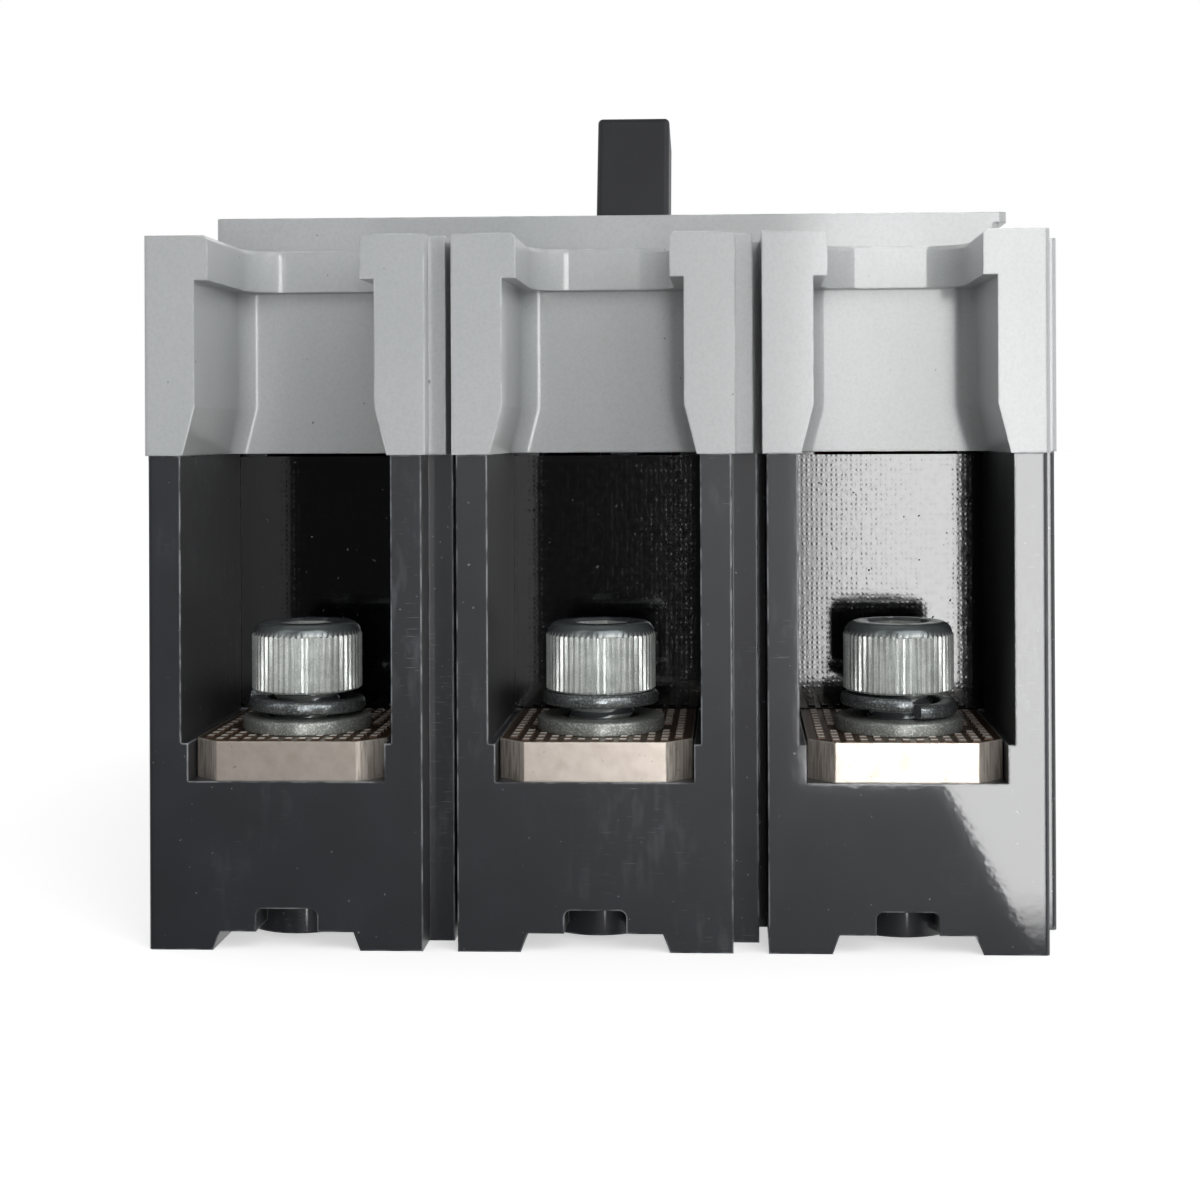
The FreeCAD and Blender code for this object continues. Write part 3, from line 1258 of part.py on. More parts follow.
def make_trip_units():
    """Bimetal with calibrating screw, magnet yoke, armature and braid of each pole."""
    calibration, magnets = [], []
    for pole in POLES:
        x = pole_x(pole)
        strip_back = "bimetal_y + bimetal_thickness"
        strip = box(f"bimetal_strip_{pole}", around(x, "bimetal_width"), ("bimetal_y", strip_back),
                    ("tang_top + seat_gap", "bimetal_top"))
        foot = box(f"bimetal_foot_{pole}", around(x, "bimetal_width"),
                   ("bimetal_y - bimetal_gap", strip_back),
                   ("tang_top + seat_gap", "tang_top + bimetal_foot"))
        hole = rod(f"bimetal_hole_{pole}", "calibration_radius + pin_gap", "Y", (x, "calibration_z"),
                   ("bimetal_y - 1", f"{strip_back} + 1"))
        stand_alone(f"bimetal_{pole}", cut(f"bimetal_cut_{pole}", fuse(f"bimetal_blank_{pole}", strip, foot),
                                           hole))
        calibration.append(rod(f"calibration_screw_{pole}", "calibration_radius", "Y", (x, "calibration_z"),
                               ("trip_y + trip_finger_thickness / 2 + calibration_gap",
                                f"{strip_back} + calibration_tail")))

        block = box(f"magnet_block_{pole}", around(x, "2 * magnet_half"),
                    ("magnet_front", "magnet_front + magnet_depth"), ("tang_top", "tang_top + magnet_height"))
        channel = box(f"magnet_channel_{pole}", around(x, "2 * (magnet_half - magnet_thickness)"),
                      ("magnet_front + magnet_thickness", "magnet_front + magnet_depth + 1"),
                      ("tang_top - 1", "tang_top + magnet_height + 1"))
        magnets.append(cut(f"magnet_yoke_{pole}", block, channel))

        armature = Moulding(f"armature_{pole}")
        back = "armature_y + armature_thickness"
        finger = (f"{x} + armature_finger_left", f"{x} + armature_finger_left + armature_finger_width")
        armature.box("armature_plate", around(x, "armature_width"), ("armature_y", back),
                     ("armature_pivot_z", "armature_shoulder"))
        armature.rod("armature_foot", "armature_thickness / 2", "X",
                     ("armature_y + armature_thickness / 2", "armature_pivot_z"), around(x, "armature_width"))
        armature.box("armature_finger", finger, ("armature_y", back),
                     ("armature_shoulder - 1", "armature_top"))
        armature.box("armature_nib", finger, ("armature_y - armature_nib", back),
                     ("armature_top - armature_nib_height", "armature_top"))
        stand_alone(f"flexible_braid_{pole}", braid(f"braid_{pole}", x))
    gather("calibration_screws", calibration)
    gather("magnet_yokes", magnets)


def braid(name, x):
    """Flat copper braid from the tail of the moving contact to the heater strip."""
    tail = value("arm_tail")
    lean = FreeCAD.Rotation(FreeCAD.Vector(1, 0, 0), -value("open_angle"))
    pivot = FreeCAD.Vector(0, value("crossbar_y"), value("crossbar_z"))
    thick, wide, gap = value("braid_thickness"), value("braid_width"), value("seat_gap")
    start = pivot + lean.multVec(FreeCAD.Vector(0, tail + thick / 2 + gap, 0))
    dive = FreeCAD.Rotation(FreeCAD.Vector(1, 0, 0), -value("open_angle") - value("braid_lead_angle"))
    onward = dive.multVec(FreeCAD.Vector(0, value("braid_lead"), 0))
    riser_y = value("load_bar_reach") - thick / 2 - 2 * gap
    top = value("heater_top") - thick
    stop_y = value("heater_y") - thick / 2 - gap
    bottom = start.z - value("braid_dip")
    route = [start, start + onward, FreeCAD.Vector(0, riser_y, bottom), FreeCAD.Vector(0, riser_y, top),
             FreeCAD.Vector(0, stop_y, top)]
    edges = []
    last = route[0]
    for before, corner, after in zip(route, route[1:], route[2:]):
        into, out = (before - corner).normalize(), (after - corner).normalize()
        cut_back = 0.3 * min((before - corner).Length, (after - corner).Length)
        enter, leave = corner + into * cut_back, corner + out * cut_back
        bend = (into + out).normalize()
        turn = into.getAngle(out) / 2
        radius = cut_back * FreeCAD.Vector(into).cross(out).Length / (1 + into.dot(out))
        middle = corner + bend * (cut_back / max(abs(into.dot(bend)), 1e-6) - radius)
        edges.append(Part.LineSegment(last, enter).toShape())
        edges.append(Part.Arc(enter, middle, leave).toShape())
        last = leave
    edges.append(Part.LineSegment(last, route[-1]).toShape())
    ribbon = Part.Wire(edges).makeOffset2D(thick / 2, 0, False, False)
    ribbon_face = Part.Face(ribbon)
    result = doc.addObject("Part::Feature", name)
    result.Shape = ribbon_face.extrude(FreeCAD.Vector(wide, 0, 0))
    result.Placement = FreeCAD.Placement(FreeCAD.Vector(value(x) - wide / 2, 0, 0), FreeCAD.Rotation())
    return result


def make_trip_gear():
    """Trip bar with its fingers, the latch plate on it and the trip button above its lug."""
    bar = Moulding("trip_bar")
    half = "pole_spacing + chamber_width / 2 - seat_gap * 2"
    bar.rod("bar", "trip_radius", "X", ("0", "0"), both(half))
    for pole in POLES:
        left = f"{pole_x(pole)} - trip_finger_left"
        bar.box("finger", (left, f"{left} + trip_finger_width"), both("trip_finger_thickness / 2"),
                ("-trip_finger_length", "0"))
    bar.box("button_lug", around("button_x", "button_lug_width"), ("0", "button_y - trip_y + button_lug_end"),
            both("button_lug_thickness / 2"))
    back = "trip_radius + latch_thickness"
    bar.box("latch_seat", around("0", "latch_width"), ("0", "trip_radius"), both("trip_radius"))
    hang(bar.body, "trip_y", "seam")
    latch = Moulding("latch_plate")
    hook = "latch_hook_z - seam"
    latch.extrude("plate", "YZ",
                  [("trip_radius", "-trip_radius / 2"), (back, "-trip_radius / 2"),
                   (back, f"{hook} + latch_thickness"),
                   ("-latch_hook", f"{hook} + latch_thickness"), ("-latch_hook", hook),
                   ("trip_radius", hook)],
                  both("latch_width / 2"))
    hang(latch.body, "trip_y", "seam")

    button = Moulding("trip_button")
    spot = ("button_x", "button_y")
    button.rod("stem", "button_stem_radius", "Z", spot, ("button_lug_top + seat_gap", "button_flange_top"))
    button.rod("flange", "button_flange_radius", "Z", spot, ("button_flange_bottom", "button_flange_top"))
    button.rod("head", "button_head_radius", "Z", spot,
               ("button_flange_top - 0.5", "panel_top + button_proud"))


def export_nodes():
    """Check every object and every node, then write one STEP file for each node."""
    doc.recompute()
    for item in doc.Objects:
        if {"Invalid", "Error"} & set(item.State):
            raise RuntimeError(f"{item.Label} failed: {item.State}")
    os.makedirs("parts", exist_ok=True)
    for label, feature in nodes.items():
        shape = feature.Shape
        if shape.isNull() or not shape.isValid() or not shape.Solids:
            raise RuntimeError(f"{label} has no valid solid")
        shape.exportStep(f"parts/{label}.step")
        print(f"{label}: {len(shape.Solids)} solids, {shape.Volume / 1000:.2f} cm3")
    print(f"{len(nodes)} nodes")


fill_sheet()
make_base()
make_cover()
make_front_panel()
make_case_screws()
make_insulating_plates()
make_terminals()
make_terminal_hardware()
make_contacts()
make_crossbar()
make_linkage()
make_side_plates()
make_handle()
make_springs()
make_arc_chutes()
make_trip_units()
make_trip_gear()
export_nodes()
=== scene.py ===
"""Looks of a three pole circuit breaker in a moulded case, seen from its line terminals.

Lengths are in millimetres until a mesh, camera or light is placed, where MM turns them into metres.
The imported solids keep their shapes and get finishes; the terminal hardware, which shows knurling,
split rings and threads, is built here as meshes and stands for its solids.
"""

import math

import bmesh
import bpy
from mathutils import Matrix, Vector


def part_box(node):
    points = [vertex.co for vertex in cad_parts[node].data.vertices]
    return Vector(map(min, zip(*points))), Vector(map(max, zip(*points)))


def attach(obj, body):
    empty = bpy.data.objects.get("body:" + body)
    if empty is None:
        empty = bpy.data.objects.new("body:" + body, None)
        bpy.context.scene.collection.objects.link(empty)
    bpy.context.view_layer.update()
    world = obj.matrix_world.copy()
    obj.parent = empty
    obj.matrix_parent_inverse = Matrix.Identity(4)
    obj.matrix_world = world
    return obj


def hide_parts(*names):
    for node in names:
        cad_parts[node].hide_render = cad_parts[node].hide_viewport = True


MM = 0.001

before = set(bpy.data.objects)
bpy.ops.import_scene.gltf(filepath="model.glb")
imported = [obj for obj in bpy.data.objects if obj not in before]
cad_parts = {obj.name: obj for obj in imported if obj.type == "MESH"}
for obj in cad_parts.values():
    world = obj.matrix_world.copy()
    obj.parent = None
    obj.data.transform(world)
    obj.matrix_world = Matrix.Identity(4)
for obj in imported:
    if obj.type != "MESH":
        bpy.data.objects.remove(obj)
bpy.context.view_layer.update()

CASE = "case"
POLES = (1, 2, 3)
ENDS = {"line": -1, "load": 1}


def low(node):
    """Lowest corner of a node in millimetres."""
    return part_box(node)[0] / MM


def high(node):
    """Highest corner of a node in millimetres."""
    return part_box(node)[1] / MM


def pole_x(pole):
    """Middle of a pole across the case."""
    terminal = f"line_terminal_{pole}"
    return (low(terminal).x + high(terminal).x) / 2


TANG_FRONT = high("load_terminal_1").y
TANG_TOP = low("flat_washers").z
TANG_WIDTH = high("line_terminal_2").x - low("line_terminal_2").x
WASHER_TOP = high("flat_washers").z
SCREW_TOP = high("terminal_screws").z
SCREW_END = low("terminal_screws").z
SCREW_INSET = 11


# Colours are written as they look on a screen


def tone(red, green, blue):
    """Screen colour of three numbers up to 255 as Blender's linear colour."""
    def linear(share):
        return share / 12.92 if share <= 0.04045 else ((share + 0.055) / 1.055) ** 2.4

    return (*(linear(channel / 255) for channel in (red, green, blue)), 1)


def grey(level):
    """A grey as a linear colour."""
    return (level, level, level, 1)


class Finish:
    """A material with the few kinds of pattern that the finishes share."""

    def __init__(self, name, roughness, metallic=0.0, specular=0.5):
        self.material = bpy.data.materials.new(name)
        self.material.use_nodes = True
        self.tree = self.material.node_tree
        self.shader = self.tree.nodes["Principled BSDF"]
        self.shader.inputs["Roughness"].default_value = roughness
        self.shader.inputs["Metallic"].default_value = metallic
        self.shader.inputs["Specular IOR Level"].default_value = specular
        self.place = self.add("ShaderNodeTexCoord").outputs["Object"]
        self.shape = self.add("ShaderNodeNewGeometry").outputs["Normal"]

    def add(self, kind, **settings):
        """Add a shader node and set its properties."""
        node = self.tree.nodes.new(kind)
        for name, value in settings.items():
            setattr(node, name, value)
        return node

    def put(self, socket, value):
        """Link a socket, or set a plain value."""
        if isinstance(value, bpy.types.NodeSocket):
            self.tree.links.new(value, socket)
        else:
            socket.default_value = value

    def noise(self, size, stretch=(1, 1, 1), detail=2.0):
        """Noise whose blots are about `size` millimetres, drawn out by `stretch`."""
        mapping = self.add("ShaderNodeMapping")
        mapping.inputs["Scale"].default_value = [1 / (size * MM * share) for share in stretch]
        self.put(mapping.inputs["Vector"], self.place)
        noise = self.add("ShaderNodeTexNoise")
        noise.inputs["Scale"].default_value = 1
        noise.inputs["Detail"].default_value = detail
        self.put(noise.inputs["Vector"], mapping.outputs["Vector"])
        return noise.outputs["Fac"]

    def wave(self, pitch, axis):
        """Stripes across one axis, `pitch` millimetres apart."""
        wave = self.add("ShaderNodeTexWave", bands_direction=axis)
        wave.inputs["Scale"].default_value = math.pi / 10 / (pitch * MM)
        wave.inputs["Distortion"].default_value = 0
        self.put(wave.inputs["Vector"], self.place)
        return wave.outputs["Fac"]

    def span(self, value, start, end, low_value=0.0, high_value=1.0):
        """Spread the values from start to end over another range, clamped."""
        node = self.add("ShaderNodeMapRange", clamp=True)
        self.put(node.inputs["Value"], value)
        for name, number in (("From Min", start), ("From Max", end),
                             ("To Min", low_value), ("To Max", high_value)):
            node.inputs[name].default_value = number
        return node.outputs["Result"]

    def math(self, operation, first, second=0.0):
        """One sum of two sockets or numbers."""
        node = self.add("ShaderNodeMath", operation=operation)
        self.put(node.inputs[0], first)
        self.put(node.inputs[1], second)
        return node.outputs[0]

    def blend(self, share, first, second):
        """Colour that goes from the first to the second as the share rises."""
        node = self.add("ShaderNodeMix", data_type="RGBA")
        colours = [socket for socket in node.inputs if socket.type == "RGBA"]
        self.put(node.inputs[0], share)
        self.put(colours[0], first)
        self.put(colours[1], second)
        return next(socket for socket in node.outputs if socket.type == "RGBA")

    def edges(self, reach):
        """Share of 1 along outer edges, in a line about half of `reach` millimetres wide."""
        inner = self.add("ShaderNodeAmbientOcclusion", inside=True, only_local=True, samples=8)
        inner.inputs["Distance"].default_value = reach * MM
        return self.span(inner.outputs["AO"], 0.62, 0.85, 1, 0)

    def facing(self, axis):
        """How much the surface faces along one axis, from -1 to 1."""
        parts = self.add("ShaderNodeSeparateXYZ")
        self.put(parts.inputs[0], self.shape)
        return parts.outputs[axis]

    def coat(self, weight, roughness):
        """A second skin with its own gloss: two reflections, one crisp and one blurred."""
        self.shader.inputs["Coat Weight"].default_value = weight
        self.shader.inputs["Coat Roughness"].default_value = roughness

    def soften(self, radius):
        """Edges that catch the light as if rounded by `radius` millimetres."""
        bevel = self.add("ShaderNodeBevel", samples=4)
        bevel.inputs["Radius"].default_value = radius * MM
        return bevel.outputs["Normal"]

    def relief(self, height, depth, normal=None):
        """Bump of `depth` millimetres from a height pattern."""
        bump = self.add("ShaderNodeBump")
        bump.inputs["Strength"].default_value = 1
        bump.inputs["Distance"].default_value = depth * MM
        self.put(bump.inputs["Height"], height)
        if normal:
            self.put(bump.inputs["Normal"], normal)
        return bump.outputs["Normal"]

    def wear(self, colour=None, roughness=None, normal=None):
        """Give the shader its patterns and hand back the material."""
        for name, value in (("Base Color", colour), ("Roughness", roughness), ("Normal", normal)):
            if value is not None:
                self.put(self.shader.inputs[name], value)
        return self.material


def cover_plastic():
    """Light grey glossy thermoset with faint flow marks, a few dark specks, and outer edges painted
    lighter: partly rubbed corners, partly a painted edge highlight.
    """
    finish = Finish("cover_plastic", 0.3)
    finish.coat(0.42, 0.08)
    flow = finish.noise(16, (1, 1, 2.5))
    grain = finish.noise(0.35, detail=4)
    colour = finish.blend(finish.span(flow, 0.3, 0.7), tone(177, 180, 180), tone(185, 187, 188))
    colour = finish.blend(finish.span(grain, 0.4, 0.8, 0, 0.3), colour, tone(150, 152, 153))
    specks = finish.span(finish.noise(0.8, detail=1), 0.79, 0.81, 0, 0.7)
    colour = finish.blend(specks, colour, tone(84, 85, 86))
    # Outer edges painted lighter: partly rubbed corners, partly a painted edge highlight.
    worn_and_highlit_rim = finish.math("MULTIPLY", finish.edges(0.3), finish.span(finish.noise(3), 0.4, 0.6, 0, 0.8))
    colour = finish.blend(worn_and_highlit_rim, colour, tone(214, 217, 217))
    normal = finish.relief(grain, 0.0015, finish.relief(flow, 0.03, finish.soften(0.35)))
    return finish.wear(colour, normal=normal)


def base_plastic():
    """Charcoal thermoset: glossy fronts, dull walls painted darker as shade, thin rubbed edges,
    fine scratches and dust.
    """
    finish = Finish("base_plastic", 0.07)
    finish.coat(0.9, 0.42)
    cloud = finish.noise(9)
    grain = finish.noise(0.3, detail=4)
    patches = finish.span(finish.noise(18, detail=1), 0.48, 0.66)
    wall = finish.span(finish.math("ABSOLUTE", finish.facing("X")), 0.5, 0.9)
    colour = finish.blend(finish.span(cloud, 0.3, 0.7), tone(36, 37, 42), tone(42, 44, 49))
    # Walls facing sideways are painted darker than the fronts: painted shade.
    colour = finish.blend(wall, colour, tone(24, 25, 29))
    smudges = finish.span(finish.noise(1.2, (1, 1, 3.5), detail=5), 0.52, 0.72, 0, 0.25)
    colour = finish.blend(finish.math("MULTIPLY", smudges, patches), colour, tone(112, 116, 120))
    scratches = finish.span(finish.noise(0.35, (8, 1, 0.35)), 0.66, 0.74, 0, 0.5)
    colour = finish.blend(finish.math("MULTIPLY", scratches, patches), colour, tone(136, 139, 143))
    dust = finish.span(finish.noise(0.6, detail=1), 0.755, 0.785, 0, 0.55)
    colour = finish.blend(dust, colour, tone(150, 152, 155))
    broken = finish.span(finish.noise(2.2), 0.4, 0.6, 0.1, 0.9)
    rubbed = finish.math("MULTIPLY", finish.edges(0.3), broken)
    colour = finish.blend(rubbed, colour, tone(150, 153, 157))
    height = finish.math("MULTIPLY", grain, finish.span(wall, 0, 1, 0.0008, 1))
    ripple = finish.noise(0.9, detail=1)
    normal = finish.relief(height, 0.025, finish.relief(ripple, 0.0012, finish.soften(0.3)))
    gloss = finish.span(wall, 0, 1, 0.03, 0.75)
    finish.put(finish.shader.inputs["Coat Normal"], normal)
    return finish.wear(colour, gloss, normal)


def handle_plastic():
    """Near black plastic with a matt, finely eroded surface."""
    finish = Finish("handle_plastic", 0.5)
    grain = finish.noise(0.18, detail=4)
    cloud = finish.span(finish.noise(6), 0.3, 0.7)
    colour = finish.blend(cloud, tone(22, 23, 27), tone(28, 29, 33))
    colour = finish.blend(finish.math("MULTIPLY", finish.edges(0.4), 0.5), colour, tone(88, 89, 94))
    return finish.wear(colour, finish.span(grain, 0.3, 0.7, 0.44, 0.58),
                       finish.relief(grain, 0.02, finish.soften(0.4)))


def fibre_plate():
    """Glossy black glass cloth laminate: the weave shows faintly through it, with dull specks."""
    finish = Finish("fibre_plate", 0.1, specular=0.6)
    weave = finish.math("MULTIPLY", finish.wave(0.62, "X"), finish.wave(0.62, "Z"))
    uneven = finish.noise(0.7, detail=4)
    height = finish.math("MULTIPLY", weave, finish.span(uneven, 0.42, 0.62, 0.1, 1))
    colour = finish.blend(height, tone(5, 5, 7), tone(10, 10, 12))
    dust = finish.span(finish.noise(0.6, detail=1), 0.77, 0.8, 0, 0.6)
    colour = finish.blend(dust, colour, tone(104, 104, 106))
    gloss = finish.math("MAXIMUM", finish.span(uneven, 0.3, 0.7, 0.07, 0.12), dust)
    return finish.wear(colour, gloss, finish.relief(height, 0.0045))


def chute_fibre():
    """Reddish grey vulcanised fibre, as arc chutes have."""
    finish = Finish("chute_fibre", 0.7)
    strands = finish.noise(0.8, (1, 3, 9), detail=3)
    colour = finish.blend(finish.span(strands, 0.3, 0.7), tone(128, 88, 74), tone(158, 116, 98))
    return finish.wear(colour, finish.span(strands, 0.3, 0.7, 0.6, 0.8),
                       finish.relief(strands, 0.03, finish.soften(0.2)))


def tinned_copper():
    """Dull tin over copper: beige faces, sides and outer edges painted paler as a painted
    highlight, sheared streaks at the corners and a browner top.
    """
    finish = Finish("tinned_copper", 0.3, metallic=0.65)
    mottle = finish.noise(1.8, detail=5)
    streaks = finish.noise(0.3, (1, 1, 12), detail=3)
    side = finish.span(finish.math("ABSOLUTE", finish.facing("X")), 0.3, 0.6)
    sheared = finish.math("MULTIPLY", streaks, side)
    painted_highlight_tone = tone(228, 220, 210)
    colour = finish.blend(finish.span(mottle, 0.35, 0.75), tone(214, 203, 193), tone(196, 183, 172))
    # Faces turned sideways are painted paler: a painted highlight.
    colour = finish.blend(finish.math("MULTIPLY", side, 0.7), colour, painted_highlight_tone)
    colour = finish.blend(finish.span(sheared, 0.45, 0.6, 0, 0.5), colour, tone(130, 116, 102))
    stains = finish.span(finish.noise(0.6, detail=3), 0.68, 0.75, 0, 0.5)
    colour = finish.blend(stains, colour, tone(122, 104, 88))
    top = finish.span(finish.facing("Z"), 0.6, 0.9)
    brown = finish.blend(finish.span(mottle, 0.3, 0.7), tone(88, 68, 53), tone(112, 90, 72))
    colour = finish.blend(top, colour, brown)
    # Outer edges painted paler: a painted highlight.
    colour = finish.blend(finish.math("MULTIPLY", finish.edges(0.35), 0.7), colour, painted_highlight_tone)
    height = finish.math("ADD", finish.math("MULTIPLY", mottle, 0.4), sheared)
    return finish.wear(colour, finish.span(mottle, 0.3, 0.75, 0.28, 0.33),
                       finish.relief(height, 0.03, finish.soften(0.25)))


def knurl_tin():
    """Raised squares of the pressed terminal face, with a painted highlight on their tops."""
    finish = Finish("knurl_tin", 0.3, metallic=0.25)
    # Tops of the squares painted near white: a painted highlight.
    top = finish.span(finish.facing("Z"), 0.8, 0.97)
    colour = finish.blend(top, tone(78, 60, 46), tone(255, 250, 240))
    return finish.wear(colour, finish.span(finish.noise(1.2), 0.3, 0.7, 0.24, 0.4))


def zinc_steel(name="zinc_steel", metallic=0.7, light=(206, 209, 207), deep=(182, 186, 184),
               roughness=(0.34, 0.5), painted_shade_top=False):
    """Zinc plated steel with a faint cloud and a crystalline sparkle; heads get painted shade on
    top.
    """
    finish = Finish(name, roughness[0], metallic=metallic)
    cloud = finish.noise(1.6, detail=4)
    crystals = finish.noise(0.22, detail=3)
    colour = finish.blend(finish.span(cloud, 0.3, 0.7), tone(*light), tone(*deep))
    colour = finish.blend(finish.span(crystals, 0.5, 0.7, 0, 0.6), colour, tone(242, 246, 242))
    gloss = finish.span(cloud, 0.3, 0.75, *roughness)
    if painted_shade_top:
        # Upward faces painted darker: painted shade on the head's top.
        top = finish.span(finish.facing("Z"), 0.1, 0.4)
        colour = finish.blend(top, colour, tone(118, 124, 126))
        gloss = finish.span(top, 0, 1, roughness[0], 0.2)
    return finish.wear(colour, gloss, finish.relief(crystals, 0.02))


def spring_steel():
    """Darker oiled steel of springs, pins and links."""
    finish = Finish("spring_steel", 0.34, metallic=1)
    cloud = finish.noise(2.5, detail=3)
    colour = finish.blend(finish.span(cloud, 0.3, 0.7), tone(128, 131, 135), tone(152, 154, 157))
    return finish.wear(colour, finish.span(cloud, 0.3, 0.7, 0.26, 0.42), finish.relief(cloud, 0.02))


def copper():
    """Copper darkened in patches by handling and heat."""
    finish = Finish("copper", 0.36, metallic=1)
    stain = finish.noise(3, detail=4)
    colour = finish.blend(finish.span(stain, 0.35, 0.7), tone(206, 128, 92), tone(150, 84, 58))
    return finish.wear(colour, finish.span(stain, 0.3, 0.7, 0.28, 0.5),
                       finish.relief(finish.noise(0.4, (8, 1, 1)), 0.015))


def silver():
    """Silver contact face with a sintered grain."""
    finish = Finish("silver", 0.32, metallic=1)
    grain = finish.noise(0.3, detail=4)
    colour = finish.blend(finish.span(grain, 0.35, 0.7), tone(224, 222, 216), tone(188, 184, 176))
    return finish.wear(colour, finish.span(grain, 0.3, 0.7, 0.26, 0.44), finish.relief(grain, 0.02))


def bimetal():
    """Rolled bimetal strip, straw coloured, with marks along its length."""
    finish = Finish("bimetal", 0.34, metallic=1)
    rolled = finish.noise(0.5, (1, 1, 14), detail=3)
    colour = finish.blend(finish.span(rolled, 0.35, 0.7), tone(186, 172, 142), tone(156, 142, 116))
    return finish.wear(colour, finish.span(rolled, 0.3, 0.7, 0.26, 0.42),
                       finish.relief(rolled, 0.015))


def red_plastic(name, deep, light):
    """Moulded red plastic with a satin grain."""
    finish = Finish(name, 0.42)
    grain = finish.noise(0.25, detail=4)
    colour = finish.blend(finish.span(finish.noise(7), 0.3, 0.7), deep, light)
    return finish.wear(colour, finish.span(grain, 0.3, 0.7, 0.36, 0.5),
                       finish.relief(grain, 0.015, finish.soften(0.25)))


FINISHES = {
    "cover_plastic": cover_plastic(),
    "base_plastic": base_plastic(),
    "handle_plastic": handle_plastic(),
    "fibre_plate": fibre_plate(),
    "chute_fibre": chute_fibre(),
    "tinned_copper": tinned_copper(),
    "zinc_steel": zinc_steel(),
    "spring_steel": spring_steel(),
    "copper": copper(),
    "silver": silver(),
    "bimetal": bimetal(),
    "moulded_red": red_plastic("moulded_red", tone(132, 30, 26), tone(156, 42, 34)),
    "button_red": red_plastic("button_red", tone(176, 30, 26), tone(196, 40, 32)),
}
KNURL_TIN = knurl_tin()
HEAD_ZINC = zinc_steel("head_zinc", 0.6, (216, 219, 216), (186, 190, 187), (0.34, 0.46),
                       painted_shade_top=True)
WASHER_ZINC = zinc_steel("washer_zinc", 0.6, (158, 161, 156), (132, 136, 131), (0.36, 0.46))
SPRING_ZINC = zinc_steel("spring_zinc", 0.8, (134, 139, 142), (106, 112, 115), (0.26, 0.38))

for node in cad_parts.values():
    for socket in node.material_slots:
        socket.material = FINISHES[socket.material.name.split(".")[0]]


SHARP_DEGREES = 35
WELD = 1e-7


def piece(name, verts, faces, slot, stands_for=None, material=None, smooth=True,
          angle=SHARP_DEGREES):
    """Make a mesh piece of the case from points in millimetres."""
    mesh = bpy.data.meshes.new(name)
    mesh.from_pydata([Vector(vert) * MM for vert in verts], [], faces)
    shell = bmesh.new()
    shell.from_mesh(mesh)
    bmesh.ops.remove_doubles(shell, verts=shell.verts, dist=WELD)
    bmesh.ops.recalc_face_normals(shell, faces=shell.faces)
    shell.to_mesh(mesh)
    shell.free()
    if smooth:
        mesh.shade_smooth()
        mesh.set_sharp_from_angle(angle=math.radians(angle))
    mesh.materials.append(material or FINISHES[slot])
    shown = bpy.data.objects.new(name, mesh)
    bpy.context.scene.collection.objects.link(shown)
    if stands_for:
        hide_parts(stands_for)
    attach(shown, CASE)


def rings_to_faces(rings, count, closed=False):
    """Quads between rings of `count` points; open stacks get a cap at each end."""
    faces = []
    for ring in range(rings if closed else rings - 1):
        here, there = ring * count, (ring + 1) % rings * count
        for step in range(count):
            after = (step + 1) % count
            faces.append((here + step, here + after, there + after, there + step))
    if not closed:
        faces.append(tuple(reversed(range(count))))
        faces.append(tuple(range((rings - 1) * count, rings * count)))
    return faces


def round_points(centre, radius, z, count, turn=0.0):
    """Points round an axis; the radius is a number or a function of the angle."""
    points = []
    for step in range(count):
        angle = 2 * math.pi * step / count + turn
        reach = radius(angle) if callable(radius) else radius
        points.append((centre[0] + reach * math.cos(angle), centre[1] + reach * math.sin(angle), z))
    return points


# Terminal screws

HEAD_RADIUS = 6.45
HEAD_HEIGHT = 8
HEAD_SHOULDER = 1.3
HEAD_SHOULDER_RADIUS = 6.3
HEAD_FOOT_BEVEL = 0.25
HEAD_FOOT_INSET = 0.05
HEAD_CORE_SHARE = 0.9
SHOULDER_BENDS = (25, 50, 75, 90)
KNURL_COUNT = 56
KNURL_DEPTH = 0.3
KNURL_RIDGE_SHARE = 0.6
KNURL_POINTS = 3
SOCKET_WIDTH = 6
SOCKET_DEPTH = 4
SOCKET_MOUTH = 3.7
SOCKET_MOUTH_DEPTH = 0.3
SOCKET_TIP_RADIUS = 0.5
SOCKET_TIP_DEPTH = 0.6
SOCKET_TURNS = {1: 12, 2: 31, 3: 47}
SOCKET_END_TURN = 9
THREAD_RADIUS = 4
THREAD_DEPTH = 0.6
THREAD_PITCH = 1.25
THREAD_TIP_SHARE = 0.75
THREAD_POINTS = 24
THREAD_RINGS_PER_TURN = 4
THREAD_OVERLAP = 0.5


def knurled(outer):
    """Radius of the knurled wall by angle: flat ridges with a narrow groove between them."""
    def radius(angle):
        phase = angle * KNURL_COUNT / (2 * math.pi) % 1
        return outer - (KNURL_DEPTH if phase > KNURL_RIDGE_SHARE else 0)
    return radius


def hexagon(width, turn):
    """Radius of a hexagonal hole by angle."""
    def radius(angle):
        within = (angle - turn) % (math.pi / 3) - math.pi / 6
        return width / 2 / math.cos(within)
    return radius


